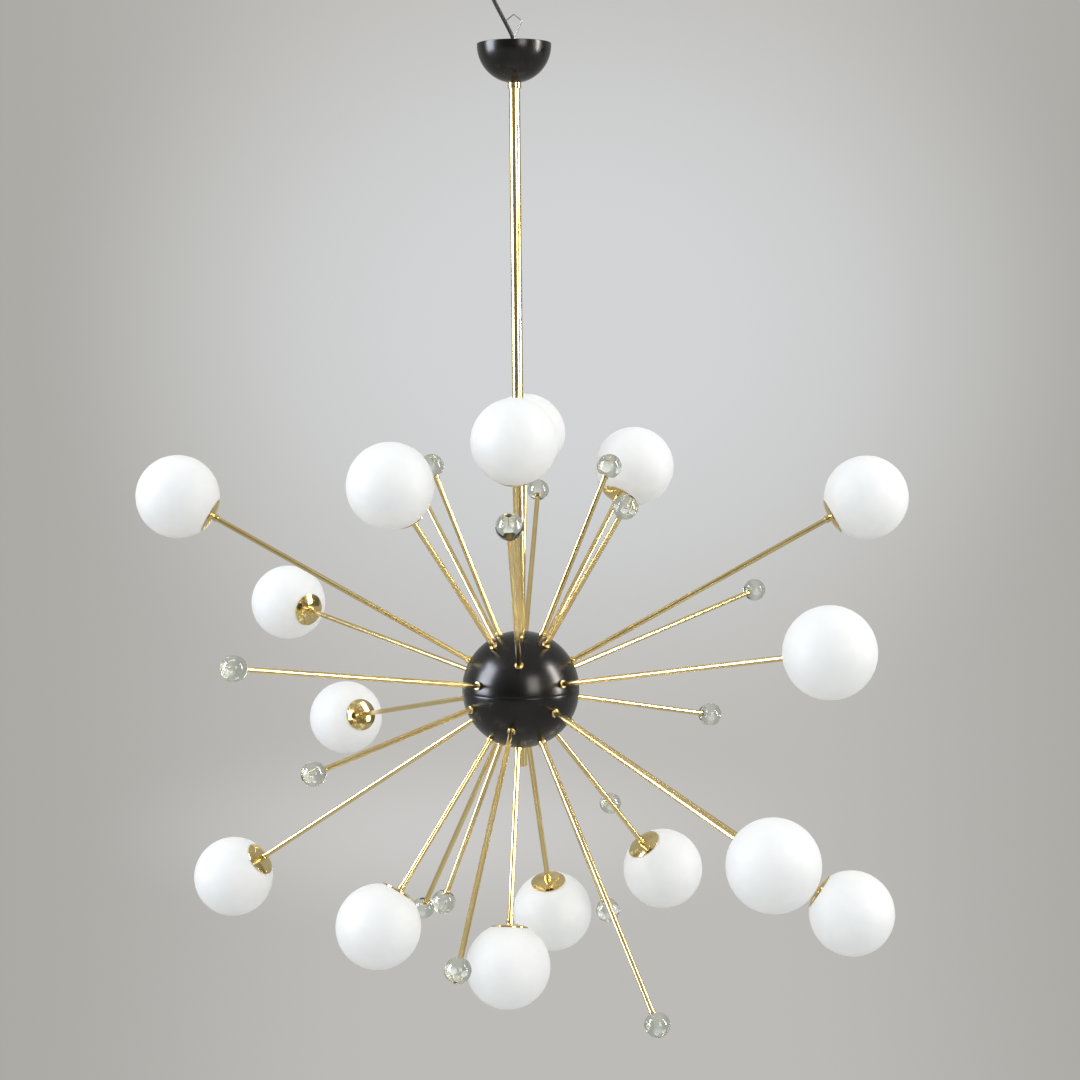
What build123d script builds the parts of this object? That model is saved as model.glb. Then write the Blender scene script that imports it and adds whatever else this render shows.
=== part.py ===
from build123d import *

import os
from dataclasses import dataclass
from math import cos, pi, radians, sin, sqrt, tan

# A sputnik chandelier. A black hub of two domes sits on a brass stem, and thirty-two brass
# arms stand out of it in four rings on each dome. Half of the arms end in an opal glass
# globe with a lamp inside, the others in a clear crystal ball.
# Millimetres, +Z up. The origin is the hanging point: the underside of the wire loop's top.

os.makedirs("parts", exist_ok=True)

# Clearances
RUNNING_FIT = 0.15  # radial play of a part on the shaft or in the bore that carries it
SEAT_GAP = 0.1  # between curved faces that seat on each other
JOINT_GAP = 0.3  # between pieces that move on each other

# Hanging loop and the two sleeves crimped on its wires
WIRE_RADIUS = 0.75
WIRE_SPACING = 1.7  # centre to centre of the two wires in the sleeves
WIRE_Y = 2.6
LOOP_HALF_WIDTH = 11.3
LOOP_SHOULDER_DROP = 8.5
LOOP_THROAT_DROP = 31.0
LOOP_TOP_RADIUS = 2.8
LOOP_BEND_RADIUS = 2.0
SLEEVE_WALL = 1.0
SLEEVE_LENGTH = 8.0

# Canopy
HANG_TO_RIM = 40.0
CANOPY_RADIUS = 52.5
CANOPY_LIP = 2.0
CANOPY_WALL = 1.2
COLLAR_RADIUS = 9.75
COLLAR_LENGTH = 8.4
GRUB_RADIUS = 1.5
GRUB_PROUD = 0.8

# Stem
HANG_TO_HUB = 960.0
STEM_RADIUS = 8.0
STEM_WALL = 1.5
STEM_TOP_BELOW_RIM = 12.0
STEM_BELOW_HUB = 28.0
BUSH_FLANGE = 1.5
BUSH_PLUG = 5.0
END_PLUG_LENGTH = 6.0

# Supply cable, and the lead that it goes on as inside the stem
CABLE_RADIUS = 2.75
CABLE_Y = -3.4
CABLE_STRAIGHT = 11.5  # from the bush up to the first bend
CABLE_FREE_POINTS = (  # from there up to the ceiling terminal
    (-3.5, -5.0, -27.0),
    (-13.5, -8.0, -8.5),
    (-27.0, -9.5, 17.0),
    (-38.0, -9.0, 41.5),
    (-43.5, -8.5, 62.0),
)
LEAD_BEND_RADIUS = 8.0
LEAD_EXIT_Y = -14.0
LEAD_SLOT_HEIGHT = 18.0
CABLE_BEND_SHARE = 0.45  # of the shorter run that an arc may use
TERMINAL_WIDTH = 22.0
TERMINAL_DEPTH = 16.0
TERMINAL_HEIGHT = 14.0
TERMINAL_EDGE = 1.5
TERMINAL_SCREW_RADIUS = 1.8
TERMINAL_SCREW_SPACING = 8.0
TERMINAL_SCREW_DEPTH = 4.0

# Hub
HUB_RADIUS = 85.0
HUB_WALL = 1.5
SEAM_BEVEL = 0.6
SEAM_LIP_HEIGHT = 3.0
SEAM_LIP_WALL = 1.2
DOME_BUSH_RADIUS = 14.0
DOME_BUSH_LENGTH = 11.0
BLOCK_RADIUS = 44.0
BLOCK_PORT_RADIUS = 2.4
BLOCK_PORT_DEPTH = 4.0

# Arms
ROD_RADIUS = 4.0
ROD_WALL = 1.25
ROD_TAIL = 9.0  # length inside the hub's outer face
LONG_ROD = 412.0  # bare length between the hub ferrule and the end fitting
SHORT_ROD = 239.0
HUB_FERRULE_RADIUS = 6.0
HUB_FERRULE_LENGTH = 4.5
FERRULE_EDGE = 1.0  # chamfer on the end of a ferrule that stands free
NUT_ACROSS_FLATS = 12.0
NUT_LENGTH = 3.0
LEAD_RADIUS = 2.1

# Globe ends
CAP_FERRULE_RADIUS = 5.4
CAP_FERRULE_LENGTH = 6.0
CAP_RADIUS = 26.0
CAP_DEPTH = 5.8
CAP_WALL = 1.2
CAP_SAG = 1.0  # bulge of the saucer's back over a straight cone
GLOBE_RADIUS = 60.0
GLOBE_WALL = 2.0
CAP_OVERHANG = 0.5  # of the cap's rim over the edge of the globe's mouth
NECK_BORE = 17.0
NECK_WALL = 2.5
NECK_LENGTH = 10.0
CARRIER_SEAT = 3.4  # from the cap's back to the carrier
CARRIER_LENGTH = 9.0
HOLDER_RADIUS = 9.0
HOLDER_LENGTH = 20.0
BULB_RADIUS = 8.0
BULB_LENGTH = 40.0
BULB_TIP = 5.0  # length of the bulb's tapered tip
BULB_TIP_RADIUS = 5.0

# Crystal ends
CRYSTAL_RADIUS = 17.5
CRYSTAL_FLAT_RADIUS = 10.0
CRYSTAL_COLLAR_RADIUS = 5.0
CRYSTAL_COLLAR_LENGTH = 5.0
CRYSTAL_COLLAR_WEB = 1.5

# Pattern of the arms, in degrees. Azimuth 0 is the front, -Y, and 90 is +X.
ARMS_PER_RING = 4
UPPER_TURN = -1.0
LOWER_TURN = -13.0  # the lower dome screws on until it meets the upper one


@dataclass(frozen=True)
class Ring:
    """Four arms at one height of a dome: globe and crystal by turns, from the first azimuth on.

    leans are how far each arm stands off the even pattern, in azimuth and elevation: the arms
    are set by hand and none is quite true.
    """

    elevation: float
    first_azimuth: float
    globe_first: bool
    globe_rod: float
    crystal_rod: float
    leans: tuple


UPPER_RINGS = (
    Ring(10, 45, True, LONG_ROD, LONG_ROD, ((1, 1), (-1, 1), (-1, -2), (1, 0))),
    Ring(30, 0, False, LONG_ROD, LONG_ROD, ((0, 2), (-1.5, -1), (-2.5, -0.5), (0, 0))),
    Ring(52, 45, False, SHORT_ROD, SHORT_ROD, ((0, 0.5), (0.5, 0), (0, 0), (1.5, -0.5))),
    Ring(68, 0, True, SHORT_ROD, SHORT_ROD, ((-0.5, 0), (0, 0), (-2.5, -1), (0, 1))),
)
LOWER_RINGS = (
    Ring(-14, 45, True, LONG_ROD, SHORT_ROD, ((3.5, -1.5), (0, 2), (0.5, 1.5), (1, 0))),
    Ring(-33, 0, False, LONG_ROD, LONG_ROD, ((2.5, -0.5), (-1, 0.5), (-5.5, 2.5), (-6.5, -0.5))),
    Ring(-52, 45, False, SHORT_ROD, LONG_ROD, ((4, -1.5), (1, 2), (-2.5, 1.5), (-0.5, -1))),
    Ring(-69, 0, True, SHORT_ROD, SHORT_ROD, ((2.5, -4), (6, 0), (-4.5, 0.5), (-5.5, 0))),
)

# Places worked out from the sizes
RIM_Z = -HANG_TO_RIM
STEM_TOP_Z = RIM_Z - STEM_TOP_BELOW_RIM
BUSH_TOP_Z = STEM_TOP_Z + BUSH_FLANGE
HUB_Z = -HANG_TO_HUB
STEM_BOTTOM_Z = HUB_Z - HUB_RADIUS - STEM_BELOW_HUB
STEM_BORE = STEM_RADIUS - STEM_WALL
HUB_INNER = HUB_RADIUS - HUB_WALL
NUT_CORNER = NUT_ACROSS_FLATS / sqrt(3)
NUT_SEAT = sqrt((HUB_INNER - SEAT_GAP) ** 2 - NUT_CORNER**2)  # from the hub's centre
ROD_BORE = ROD_RADIUS - ROD_WALL
ROD_HOLE = ROD_RADIUS + RUNNING_FIT
ROD_START = HUB_RADIUS - ROD_TAIL
FERRULE_END = HUB_RADIUS + HUB_FERRULE_LENGTH
MOUTH_RADIUS = CAP_RADIUS - CAP_OVERHANG
GLOBE_CUT = sqrt(GLOBE_RADIUS**2 - MOUTH_RADIUS**2)  # from the globe's centre to its mouth
CRYSTAL_CUT = sqrt(CRYSTAL_RADIUS**2 - CRYSTAL_FLAT_RADIUS**2)  # from the ball's centre to its flat
CAP_TO_CUT = CAP_DEPTH + JOINT_GAP
CAP_TO_GLOBE = CAP_TO_CUT + GLOBE_CUT
CAP_TO_NUT = CARRIER_SEAT + CARRIER_LENGTH
CAP_TO_ROD_END = CAP_TO_NUT + NUT_LENGTH
CAP_TO_HOLDER = CAP_TO_ROD_END + JOINT_GAP
CAP_TO_BULB = CAP_TO_HOLDER + HOLDER_LENGTH


@dataclass(frozen=True)
class Arm:
    """One arm: where it points and how long its bare rod is."""

    azimuth: float
    elevation: float
    rod: float

    def plane(self, distance: float = 0.0) -> Plane:
        """The plane square to the arm at a distance from the hub's centre."""
        a = radians(self.azimuth)
        e = radians(self.elevation)
        out = Vector(sin(a) * cos(e), -cos(a) * cos(e), sin(e))
        side = Vector(cos(a), sin(a), 0)
        return Plane(origin=Vector(0, 0, HUB_Z) + out * distance, x_dir=side, z_dir=out)

    @property
    def fitting(self) -> float:
        """Distance from the hub's centre to the end fitting."""
        return FERRULE_END + self.rod

    @property
    def cap(self) -> float:
        """Distance from the hub's centre to the back of the globe's cap."""
        return self.fitting + CAP_FERRULE_LENGTH


def arms_of(rings, turn, globes):
    """The globe arms or the crystal arms of one dome, ring by ring."""
    arms = []
    for ring in rings:
        for number, (lean_azimuth, lean_elevation) in enumerate(ring.leans):
            if (number % 2 == 0) == (ring.globe_first == globes):
                azimuth = ring.first_azimuth + turn + number * 360 / ARMS_PER_RING + lean_azimuth
                rod = ring.globe_rod if globes else ring.crystal_rod
                arms.append(Arm(azimuth, ring.elevation + lean_elevation, rod))
    return arms


DOMES = {"upper": (UPPER_RINGS, UPPER_TURN), "lower": (LOWER_RINGS, LOWER_TURN)}
GLOBE_ARMS = {dome: arms_of(rings, turn, True) for dome, (rings, turn) in DOMES.items()}
CRYSTAL_ARMS = {dome: arms_of(rings, turn, False) for dome, (rings, turn) in DOMES.items()}


def write(builder, name):
    """Label a finished piece and write it as its own STEP file."""
    builder.part.label = name
    export_step(builder.part, f"parts/{name}.step")


def ring_profile(inner, outer, low, high):
    """A closed rectangle in the XZ plane, from one radius and height to another."""
    Polyline((inner, low), (outer, low), (outer, high), (inner, high), close=True)


def turned_ring(inner, outer, low, high):
    """A plain ring or, with no inner radius, a plain rod along +Z."""
    with BuildPart() as ring:
        with BuildSketch(Plane.XZ):
            with BuildLine():
                ring_profile(inner, outer, low, high)
            make_face()
        revolve(axis=Axis.Z)
    return ring.part


def hex_nut():
    """A nut that stands on z = 0."""
    with BuildPart() as nut:
        with BuildSketch():
            RegularPolygon(NUT_CORNER, 6)
            Circle(ROD_HOLE, mode=Mode.SUBTRACT)
        extrude(amount=NUT_LENGTH)
    return nut.part


def ferrule(radius, length, free_end):
    """A ring on a rod; free_end is 0 or -1, for the edge at z = 0 or at its length."""
    with BuildPart() as ring:
        with BuildSketch():
            Circle(radius)
            Circle(ROD_HOLE, mode=Mode.SUBTRACT)
        extrude(amount=length)
        end = ring.faces().sort_by(Axis.Z)[free_end]
        chamfer(end.outer_wire().edges(), FERRULE_EDGE)
    return ring.part


def group(name, piece, planes):
    """Write one node that holds the same piece at each plane."""
    with BuildPart() as pieces:
        with Locations(*planes):
            add(piece)
    write(pieces, name)


# ---------------------------------------------------------------- hanging loop

sleeve_bottom_z = BUSH_TOP_Z + JOINT_GAP
stop_top_z = STEM_TOP_Z - BUSH_PLUG - SEAT_GAP
stop_bottom_z = stop_top_z - SLEEVE_LENGTH
apex_z = WIRE_RADIUS
shoulder_y = WIRE_Y * (LOOP_SHOULDER_DROP + apex_z) / (LOOP_THROAT_DROP + apex_z)
half_loop = (
    (WIRE_SPACING / 2, WIRE_Y, stop_bottom_z),
    (WIRE_SPACING / 2, WIRE_Y, -LOOP_THROAT_DROP),
    (LOOP_HALF_WIDTH, shoulder_y, -LOOP_SHOULDER_DROP),
)
other_half = [(-x, y, z) for x, y, z in reversed(half_loop)]
loop_radii = [LOOP_BEND_RADIUS, LOOP_BEND_RADIUS, LOOP_TOP_RADIUS, LOOP_BEND_RADIUS, LOOP_BEND_RADIUS]

with BuildPart() as hanging_loop:
    with BuildLine() as loop_path:
        FilletPolyline(*half_loop, (0, 0, apex_z), *other_half, radius=loop_radii)
    with BuildSketch(Plane.XY.offset(stop_bottom_z)):
        with Locations(half_loop[0][:2]):
            Circle(WIRE_RADIUS)
    sweep(path=loop_path.wires()[0])
write(hanging_loop, "hanging_loop")

sleeve_bore = WIRE_RADIUS + SEAT_GAP
sleeve_half = WIRE_SPACING / 2 + sleeve_bore


def crimp_sleeve(bottom_z):
    """A flattened sleeve that both wires go through."""
    with BuildPart() as sleeve:
        with BuildSketch(Plane.XY.offset(bottom_z)):
            with Locations((0, WIRE_Y)):
                SlotOverall(2 * (sleeve_half + SLEEVE_WALL), 2 * (sleeve_bore + SLEEVE_WALL))
                SlotOverall(2 * sleeve_half, 2 * sleeve_bore, mode=Mode.SUBTRACT)
        extrude(amount=SLEEVE_LENGTH)
    return sleeve


write(crimp_sleeve(sleeve_bottom_z), "loop_sleeve")
write(crimp_sleeve(stop_bottom_z), "loop_stop_sleeve")

# ------------------------------------------------------------------------ stem

lead_exit = Plane(origin=(0, 0, HUB_Z), x_dir=(0, 0, 1), z_dir=(0, -1, 0))
lead_slot_width = 2 * (CABLE_RADIUS + JOINT_GAP)

with BuildPart() as stem_tube:
    with BuildSketch(Plane.XY.offset(STEM_BOTTOM_Z)):
        Circle(STEM_RADIUS)
        Circle(STEM_BORE, mode=Mode.SUBTRACT)
    extrude(amount=STEM_TOP_Z - STEM_BOTTOM_Z)
    with BuildSketch(lead_exit):
        SlotOverall(LEAD_SLOT_HEIGHT, lead_slot_width)
    extrude(amount=STEM_RADIUS, mode=Mode.SUBTRACT)
write(stem_tube, "stem_tube")

wire_slot_width = 2 * (WIRE_RADIUS + JOINT_GAP)
with BuildPart() as stem_top_bush:
    with BuildSketch(Plane.XY.offset(STEM_TOP_Z)):
        Circle(STEM_RADIUS)
    extrude(amount=BUSH_FLANGE)
    with BuildSketch(Plane.XY.offset(STEM_TOP_Z)):
        Circle(STEM_BORE - RUNNING_FIT)
    extrude(amount=-BUSH_PLUG)
    with BuildSketch(Plane.XY.offset(BUSH_TOP_Z)):
        with Locations((0, CABLE_Y)):
            Circle(CABLE_RADIUS + RUNNING_FIT)
        with Locations((0, WIRE_Y)):
            SlotOverall(WIRE_SPACING + wire_slot_width, wire_slot_width)
    extrude(amount=-(BUSH_FLANGE + BUSH_PLUG), mode=Mode.SUBTRACT)
write(stem_top_bush, "stem_top_bush")

with BuildPart() as stem_end_plug:
    with BuildSketch(Plane.XY.offset(STEM_BOTTOM_Z)):
        Circle(STEM_BORE - RUNNING_FIT)
    extrude(amount=END_PLUG_LENGTH)
write(stem_end_plug, "stem_end_plug")

with BuildPart() as stem_lead:
    with BuildLine() as lead_path:
        FilletPolyline(
            (0, CABLE_Y, BUSH_TOP_Z), (0, CABLE_Y, HUB_Z), (0, LEAD_EXIT_Y, HUB_Z), radius=LEAD_BEND_RADIUS
        )
    with BuildSketch(Plane.XY.offset(BUSH_TOP_Z)):
        with Locations((0, CABLE_Y)):
            Circle(CABLE_RADIUS)
    sweep(path=lead_path.wires()[0])
write(stem_lead, "stem_lead")

# --------------------------------------------------------------- supply cable


def bend_radii(points):
    """The largest arc at each inner point that the runs beside it leave room for."""
    radii = []
    for before, here, after in zip(points, points[1:], points[2:]):
        arriving = Vector(*here) - Vector(*before)
        leaving = Vector(*after) - Vector(*here)
        half_turn = radians(arriving.get_angle(leaving)) / 2
        radii.append(CABLE_BEND_SHARE * min(arriving.length, leaving.length) / tan(half_turn))
    return radii


cable_points = [(0, CABLE_Y, BUSH_TOP_Z), (0, CABLE_Y, BUSH_TOP_Z + CABLE_STRAIGHT), *CABLE_FREE_POINTS]
cable_radii = bend_radii(cable_points)
print("supply cable bend radii, mm:", [round(r, 1) for r in cable_radii])
with BuildPart() as supply_cable:
    with BuildLine() as cable_path:
        FilletPolyline(*cable_points, radius=cable_radii)
    with BuildSketch(Plane.XY.offset(BUSH_TOP_Z)):
        with Locations((0, CABLE_Y)):
            Circle(CABLE_RADIUS)
    sweep(path=cable_path.wires()[0])
write(supply_cable, "supply_cable")
cable_length = cable_path.wires()[0].length
print("supply cable length, mm:", round(cable_length, 1))
cable_fill = supply_cable.part.volume / (cable_length * pi * CABLE_RADIUS**2)
print("supply cable volume over section times length:", round(cable_fill, 4))

cable_end = Plane(cable_path.wires()[0].position_at(1), z_dir=cable_path.wires()[0].tangent_at(1))
with BuildPart() as ceiling_terminal:
    with BuildSketch(cable_end):
        RectangleRounded(TERMINAL_WIDTH, TERMINAL_DEPTH, TERMINAL_EDGE)
    extrude(amount=TERMINAL_HEIGHT)
    with BuildSketch(cable_end.offset(TERMINAL_HEIGHT)):
        with GridLocations(TERMINAL_SCREW_SPACING, 1, 2, 1):
            Circle(TERMINAL_SCREW_RADIUS)
    extrude(amount=-TERMINAL_SCREW_DEPTH, mode=Mode.SUBTRACT)
write(ceiling_terminal, "ceiling_terminal")

# --------------------------------------------------------------------- canopy

cup_centre_z = RIM_Z - CANOPY_LIP
stem_hole = STEM_RADIUS + JOINT_GAP
cup_inner = CANOPY_RADIUS - CANOPY_WALL

with BuildPart() as canopy_cup:
    with BuildSketch(Plane.XZ):
        with BuildLine():
            outer_start = (stem_hole, cup_centre_z - sqrt(CANOPY_RADIUS**2 - stem_hole**2))
            inner_start = (stem_hole, cup_centre_z - sqrt(cup_inner**2 - stem_hole**2))
            Line((CANOPY_RADIUS, cup_centre_z), (CANOPY_RADIUS, RIM_Z))
            Line((CANOPY_RADIUS, RIM_Z), (cup_inner, RIM_Z))
            Line((cup_inner, RIM_Z), (cup_inner, cup_centre_z))
            RadiusArc((cup_inner, cup_centre_z), inner_start, cup_inner)
            Line(inner_start, outer_start)
            RadiusArc(outer_start, (CANOPY_RADIUS, cup_centre_z), -CANOPY_RADIUS)
        make_face()
    revolve(axis=Axis.Z)
write(canopy_cup, "canopy_cup")

collar_top_z = outer_start[1] - SEAT_GAP
grub_z = collar_top_z - COLLAR_LENGTH / 2
with BuildPart() as canopy_collar:
    with BuildSketch(Plane.XY.offset(collar_top_z)):
        Circle(COLLAR_RADIUS)
        Circle(stem_hole, mode=Mode.SUBTRACT)
    extrude(amount=-COLLAR_LENGTH)
    with BuildSketch(Plane.XZ.offset(-COLLAR_RADIUS)):
        with Locations((0, grub_z)):
            Circle(GRUB_RADIUS + SEAT_GAP)
    extrude(amount=COLLAR_RADIUS, mode=Mode.SUBTRACT)
write(canopy_collar, "canopy_collar")

with BuildPart() as canopy_grub_screw:
    with BuildSketch(Plane.XZ.offset(-COLLAR_RADIUS - GRUB_PROUD)):
        with Locations((0, grub_z)):
            Circle(GRUB_RADIUS)
    extrude(amount=COLLAR_RADIUS + GRUB_PROUD - stem_hole)
write(canopy_grub_screw, "canopy_grub_screw")

# ------------------------------------------------------------------------ hub


def dome_profile(side):
    """Half section of a dome, to be turned about the stem; side is 1 for the upper, -1 for the lower."""
    hole = STEM_RADIUS + RUNNING_FIT
    outer_pole = (hole, HUB_Z + side * sqrt(HUB_RADIUS**2 - hole**2))
    inner_pole = (hole, HUB_Z + side * sqrt(HUB_INNER**2 - hole**2))
    outer_edge = (sqrt(HUB_RADIUS**2 - SEAM_BEVEL**2), HUB_Z + side * SEAM_BEVEL)
    RadiusArc(outer_edge, outer_pole, -side * HUB_RADIUS)
    Line(outer_pole, inner_pole)
    RadiusArc(inner_pole, (HUB_INNER, HUB_Z), side * HUB_INNER)
    Line((HUB_INNER, HUB_Z), (HUB_RADIUS - SEAM_BEVEL, HUB_Z))
    Line((HUB_RADIUS - SEAM_BEVEL, HUB_Z), outer_edge)


def radial_pins(arms, start, radius, length):
    """Plain pins along the arms, which cut their holes."""
    with BuildPart() as pins:
        for arm in arms:
            with BuildSketch(arm.plane(start)):
                Circle(radius)
            extrude(amount=length)
    return pins.part


with BuildPart() as hub_upper_dome:
    with BuildSketch(Plane.XZ):
        with BuildLine():
            dome_profile(1)
        make_face()
    revolve(axis=Axis.Z)
    add(
        radial_pins(GLOBE_ARMS["upper"] + CRYSTAL_ARMS["upper"], ROD_START, ROD_HOLE, 2 * ROD_TAIL),
        mode=Mode.SUBTRACT,
    )
write(hub_upper_dome, "hub_upper_dome")

lip_outer = HUB_INNER - RUNNING_FIT
lip_inner = lip_outer - SEAM_LIP_WALL
with BuildPart() as hub_lower_dome:
    with BuildSketch(Plane.XZ):
        with BuildLine():
            dome_profile(-1)
        make_face()
        # The lip that the upper dome slips over, with a skirt that joins it to this dome
        with BuildLine():
            ring_profile(lip_inner, lip_outer, HUB_Z - SEAM_LIP_HEIGHT, HUB_Z + SEAM_LIP_HEIGHT)
        make_face()
        with BuildLine():
            ring_profile(lip_inner, HUB_INNER, HUB_Z - SEAM_LIP_HEIGHT, HUB_Z)
        make_face()
    revolve(axis=Axis.Z)
    add(
        radial_pins(GLOBE_ARMS["lower"] + CRYSTAL_ARMS["lower"], ROD_START, ROD_HOLE, 2 * ROD_TAIL),
        mode=Mode.SUBTRACT,
    )
write(hub_lower_dome, "hub_lower_dome")

bush_seat = HUB_INNER - SEAT_GAP
bush_bore = STEM_RADIUS + RUNNING_FIT
bush_low = sqrt(bush_seat**2 - DOME_BUSH_RADIUS**2) - DOME_BUSH_LENGTH
with BuildPart() as dome_bushes:
    with BuildSketch(Plane.XZ):
        with BuildLine():
            top_outer = (DOME_BUSH_RADIUS, HUB_Z + sqrt(bush_seat**2 - DOME_BUSH_RADIUS**2))
            top_inner = (bush_bore, HUB_Z + sqrt(bush_seat**2 - bush_bore**2))
            Polyline(top_inner, (bush_bore, HUB_Z + bush_low), (DOME_BUSH_RADIUS, HUB_Z + bush_low), top_outer)
            RadiusArc(top_outer, top_inner, -bush_seat)
        make_face()
    revolve(axis=Axis.Z)
    mirror(about=Plane.XY.offset(HUB_Z))
write(dome_bushes, "dome_bushes")

with BuildPart() as terminal_block:
    with Locations((0, 0, HUB_Z)):
        Sphere(BLOCK_RADIUS)
    with BuildSketch(Plane.XY.offset(HUB_Z - BLOCK_RADIUS)):
        Circle(bush_bore)
    extrude(amount=2 * BLOCK_RADIUS, mode=Mode.SUBTRACT)
    port_floor = BLOCK_RADIUS - BLOCK_PORT_DEPTH
    add(
        radial_pins(
            GLOBE_ARMS["upper"] + GLOBE_ARMS["lower"], port_floor, BLOCK_PORT_RADIUS, 2 * BLOCK_PORT_DEPTH
        ),
        mode=Mode.SUBTRACT,
    )
    with BuildSketch(lead_exit):
        SlotOverall(LEAD_SLOT_HEIGHT, lead_slot_width)
    extrude(amount=SEAT_GAP - LEAD_EXIT_Y, mode=Mode.SUBTRACT)
write(terminal_block, "terminal_block")

# ----------------------------------------------------------------------- arms

nut = hex_nut()
hub_ferrule = ferrule(HUB_FERRULE_RADIUS, HUB_FERRULE_LENGTH, free_end=-1)
cap_ferrule = ferrule(CAP_FERRULE_RADIUS, CAP_FERRULE_LENGTH, free_end=0)
shade_carrier = turned_ring(ROD_HOLE, NECK_BORE - JOINT_GAP, 0, CARRIER_LENGTH)
lampholder = turned_ring(0, HOLDER_RADIUS, 0, HOLDER_LENGTH)

with BuildPart() as globe_cap:
    with BuildSketch(Plane.XZ):
        with BuildLine():
            back_inner = (CAP_FERRULE_RADIUS, 0)
            back_outer = (CAP_RADIUS, CAP_DEPTH - CAP_WALL)
            front_outer = (CAP_RADIUS, CAP_DEPTH)
            front_inner = (CAP_FERRULE_RADIUS, CAP_WALL)
            SagittaArc(back_inner, back_outer, -CAP_SAG)
            Line(back_outer, front_outer)
            SagittaArc(front_outer, front_inner, CAP_SAG)
            Polyline(front_inner, (ROD_HOLE, CAP_WALL), (ROD_HOLE, 0), back_inner)
        make_face()
    revolve(axis=Axis.Z)

with BuildPart() as bulb:
    with BuildSketch(Plane.XZ):
        with BuildLine():
            Polyline(
                (0, 0),
                (BULB_RADIUS, 0),
                (BULB_RADIUS, BULB_LENGTH - BULB_TIP),
                (BULB_TIP_RADIUS, BULB_LENGTH),
                (0, BULB_LENGTH),
                close=True,
            )
        make_face()
    revolve(axis=Axis.Z)

with BuildPart() as crystal_collar:
    with BuildSketch():
        Circle(CRYSTAL_COLLAR_RADIUS)
    extrude(amount=CRYSTAL_COLLAR_LENGTH)
    with BuildSketch():
        Circle(ROD_HOLE)
    extrude(amount=CRYSTAL_COLLAR_LENGTH - CRYSTAL_COLLAR_WEB, mode=Mode.SUBTRACT)

# The ball's flat lies on z = 0
with BuildPart() as crystal:
    with BuildSketch(Plane.XZ):
        with BuildLine():
            flat_edge = (CRYSTAL_FLAT_RADIUS, 0)
            pole = (0, CRYSTAL_CUT + CRYSTAL_RADIUS)
            belly = (CRYSTAL_RADIUS, CRYSTAL_CUT)
            ThreePointArc(flat_edge, belly, pole)
            Polyline(pole, (0, 0), flat_edge)
        make_face()
    revolve(axis=Axis.Z)

# The globe's cut face lies on z = 0
with BuildPart() as globe:
    with BuildSketch(Plane.XZ):
        with BuildLine():
            inner_radius = GLOBE_RADIUS - GLOBE_WALL
            cut_edge = (MOUTH_RADIUS, 0)
            floor_edge = (sqrt(inner_radius**2 - (GLOBE_CUT - GLOBE_WALL) ** 2), GLOBE_WALL)
            ThreePointArc(cut_edge, (GLOBE_RADIUS, GLOBE_CUT), (0, GLOBE_CUT + GLOBE_RADIUS))
            Line((0, GLOBE_CUT + GLOBE_RADIUS), (0, GLOBE_CUT + inner_radius))
            ThreePointArc((0, GLOBE_CUT + inner_radius), (inner_radius, GLOBE_CUT), floor_edge)
            Polyline(
                floor_edge,
                (NECK_BORE + NECK_WALL, GLOBE_WALL),
                (NECK_BORE + NECK_WALL, NECK_LENGTH),
                (NECK_BORE, NECK_LENGTH),
                (NECK_BORE, 0),
                cut_edge,
            )
        make_face()
    revolve(axis=Axis.Z)

tail_to_ferrule = FERRULE_END - ROD_START
rod_into_cap = CAP_FERRULE_LENGTH + CAP_TO_ROD_END
rod_into_collar = CRYSTAL_COLLAR_LENGTH - CRYSTAL_COLLAR_WEB - SEAT_GAP
lead_start = BLOCK_RADIUS - BLOCK_PORT_DEPTH + SEAT_GAP

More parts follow.
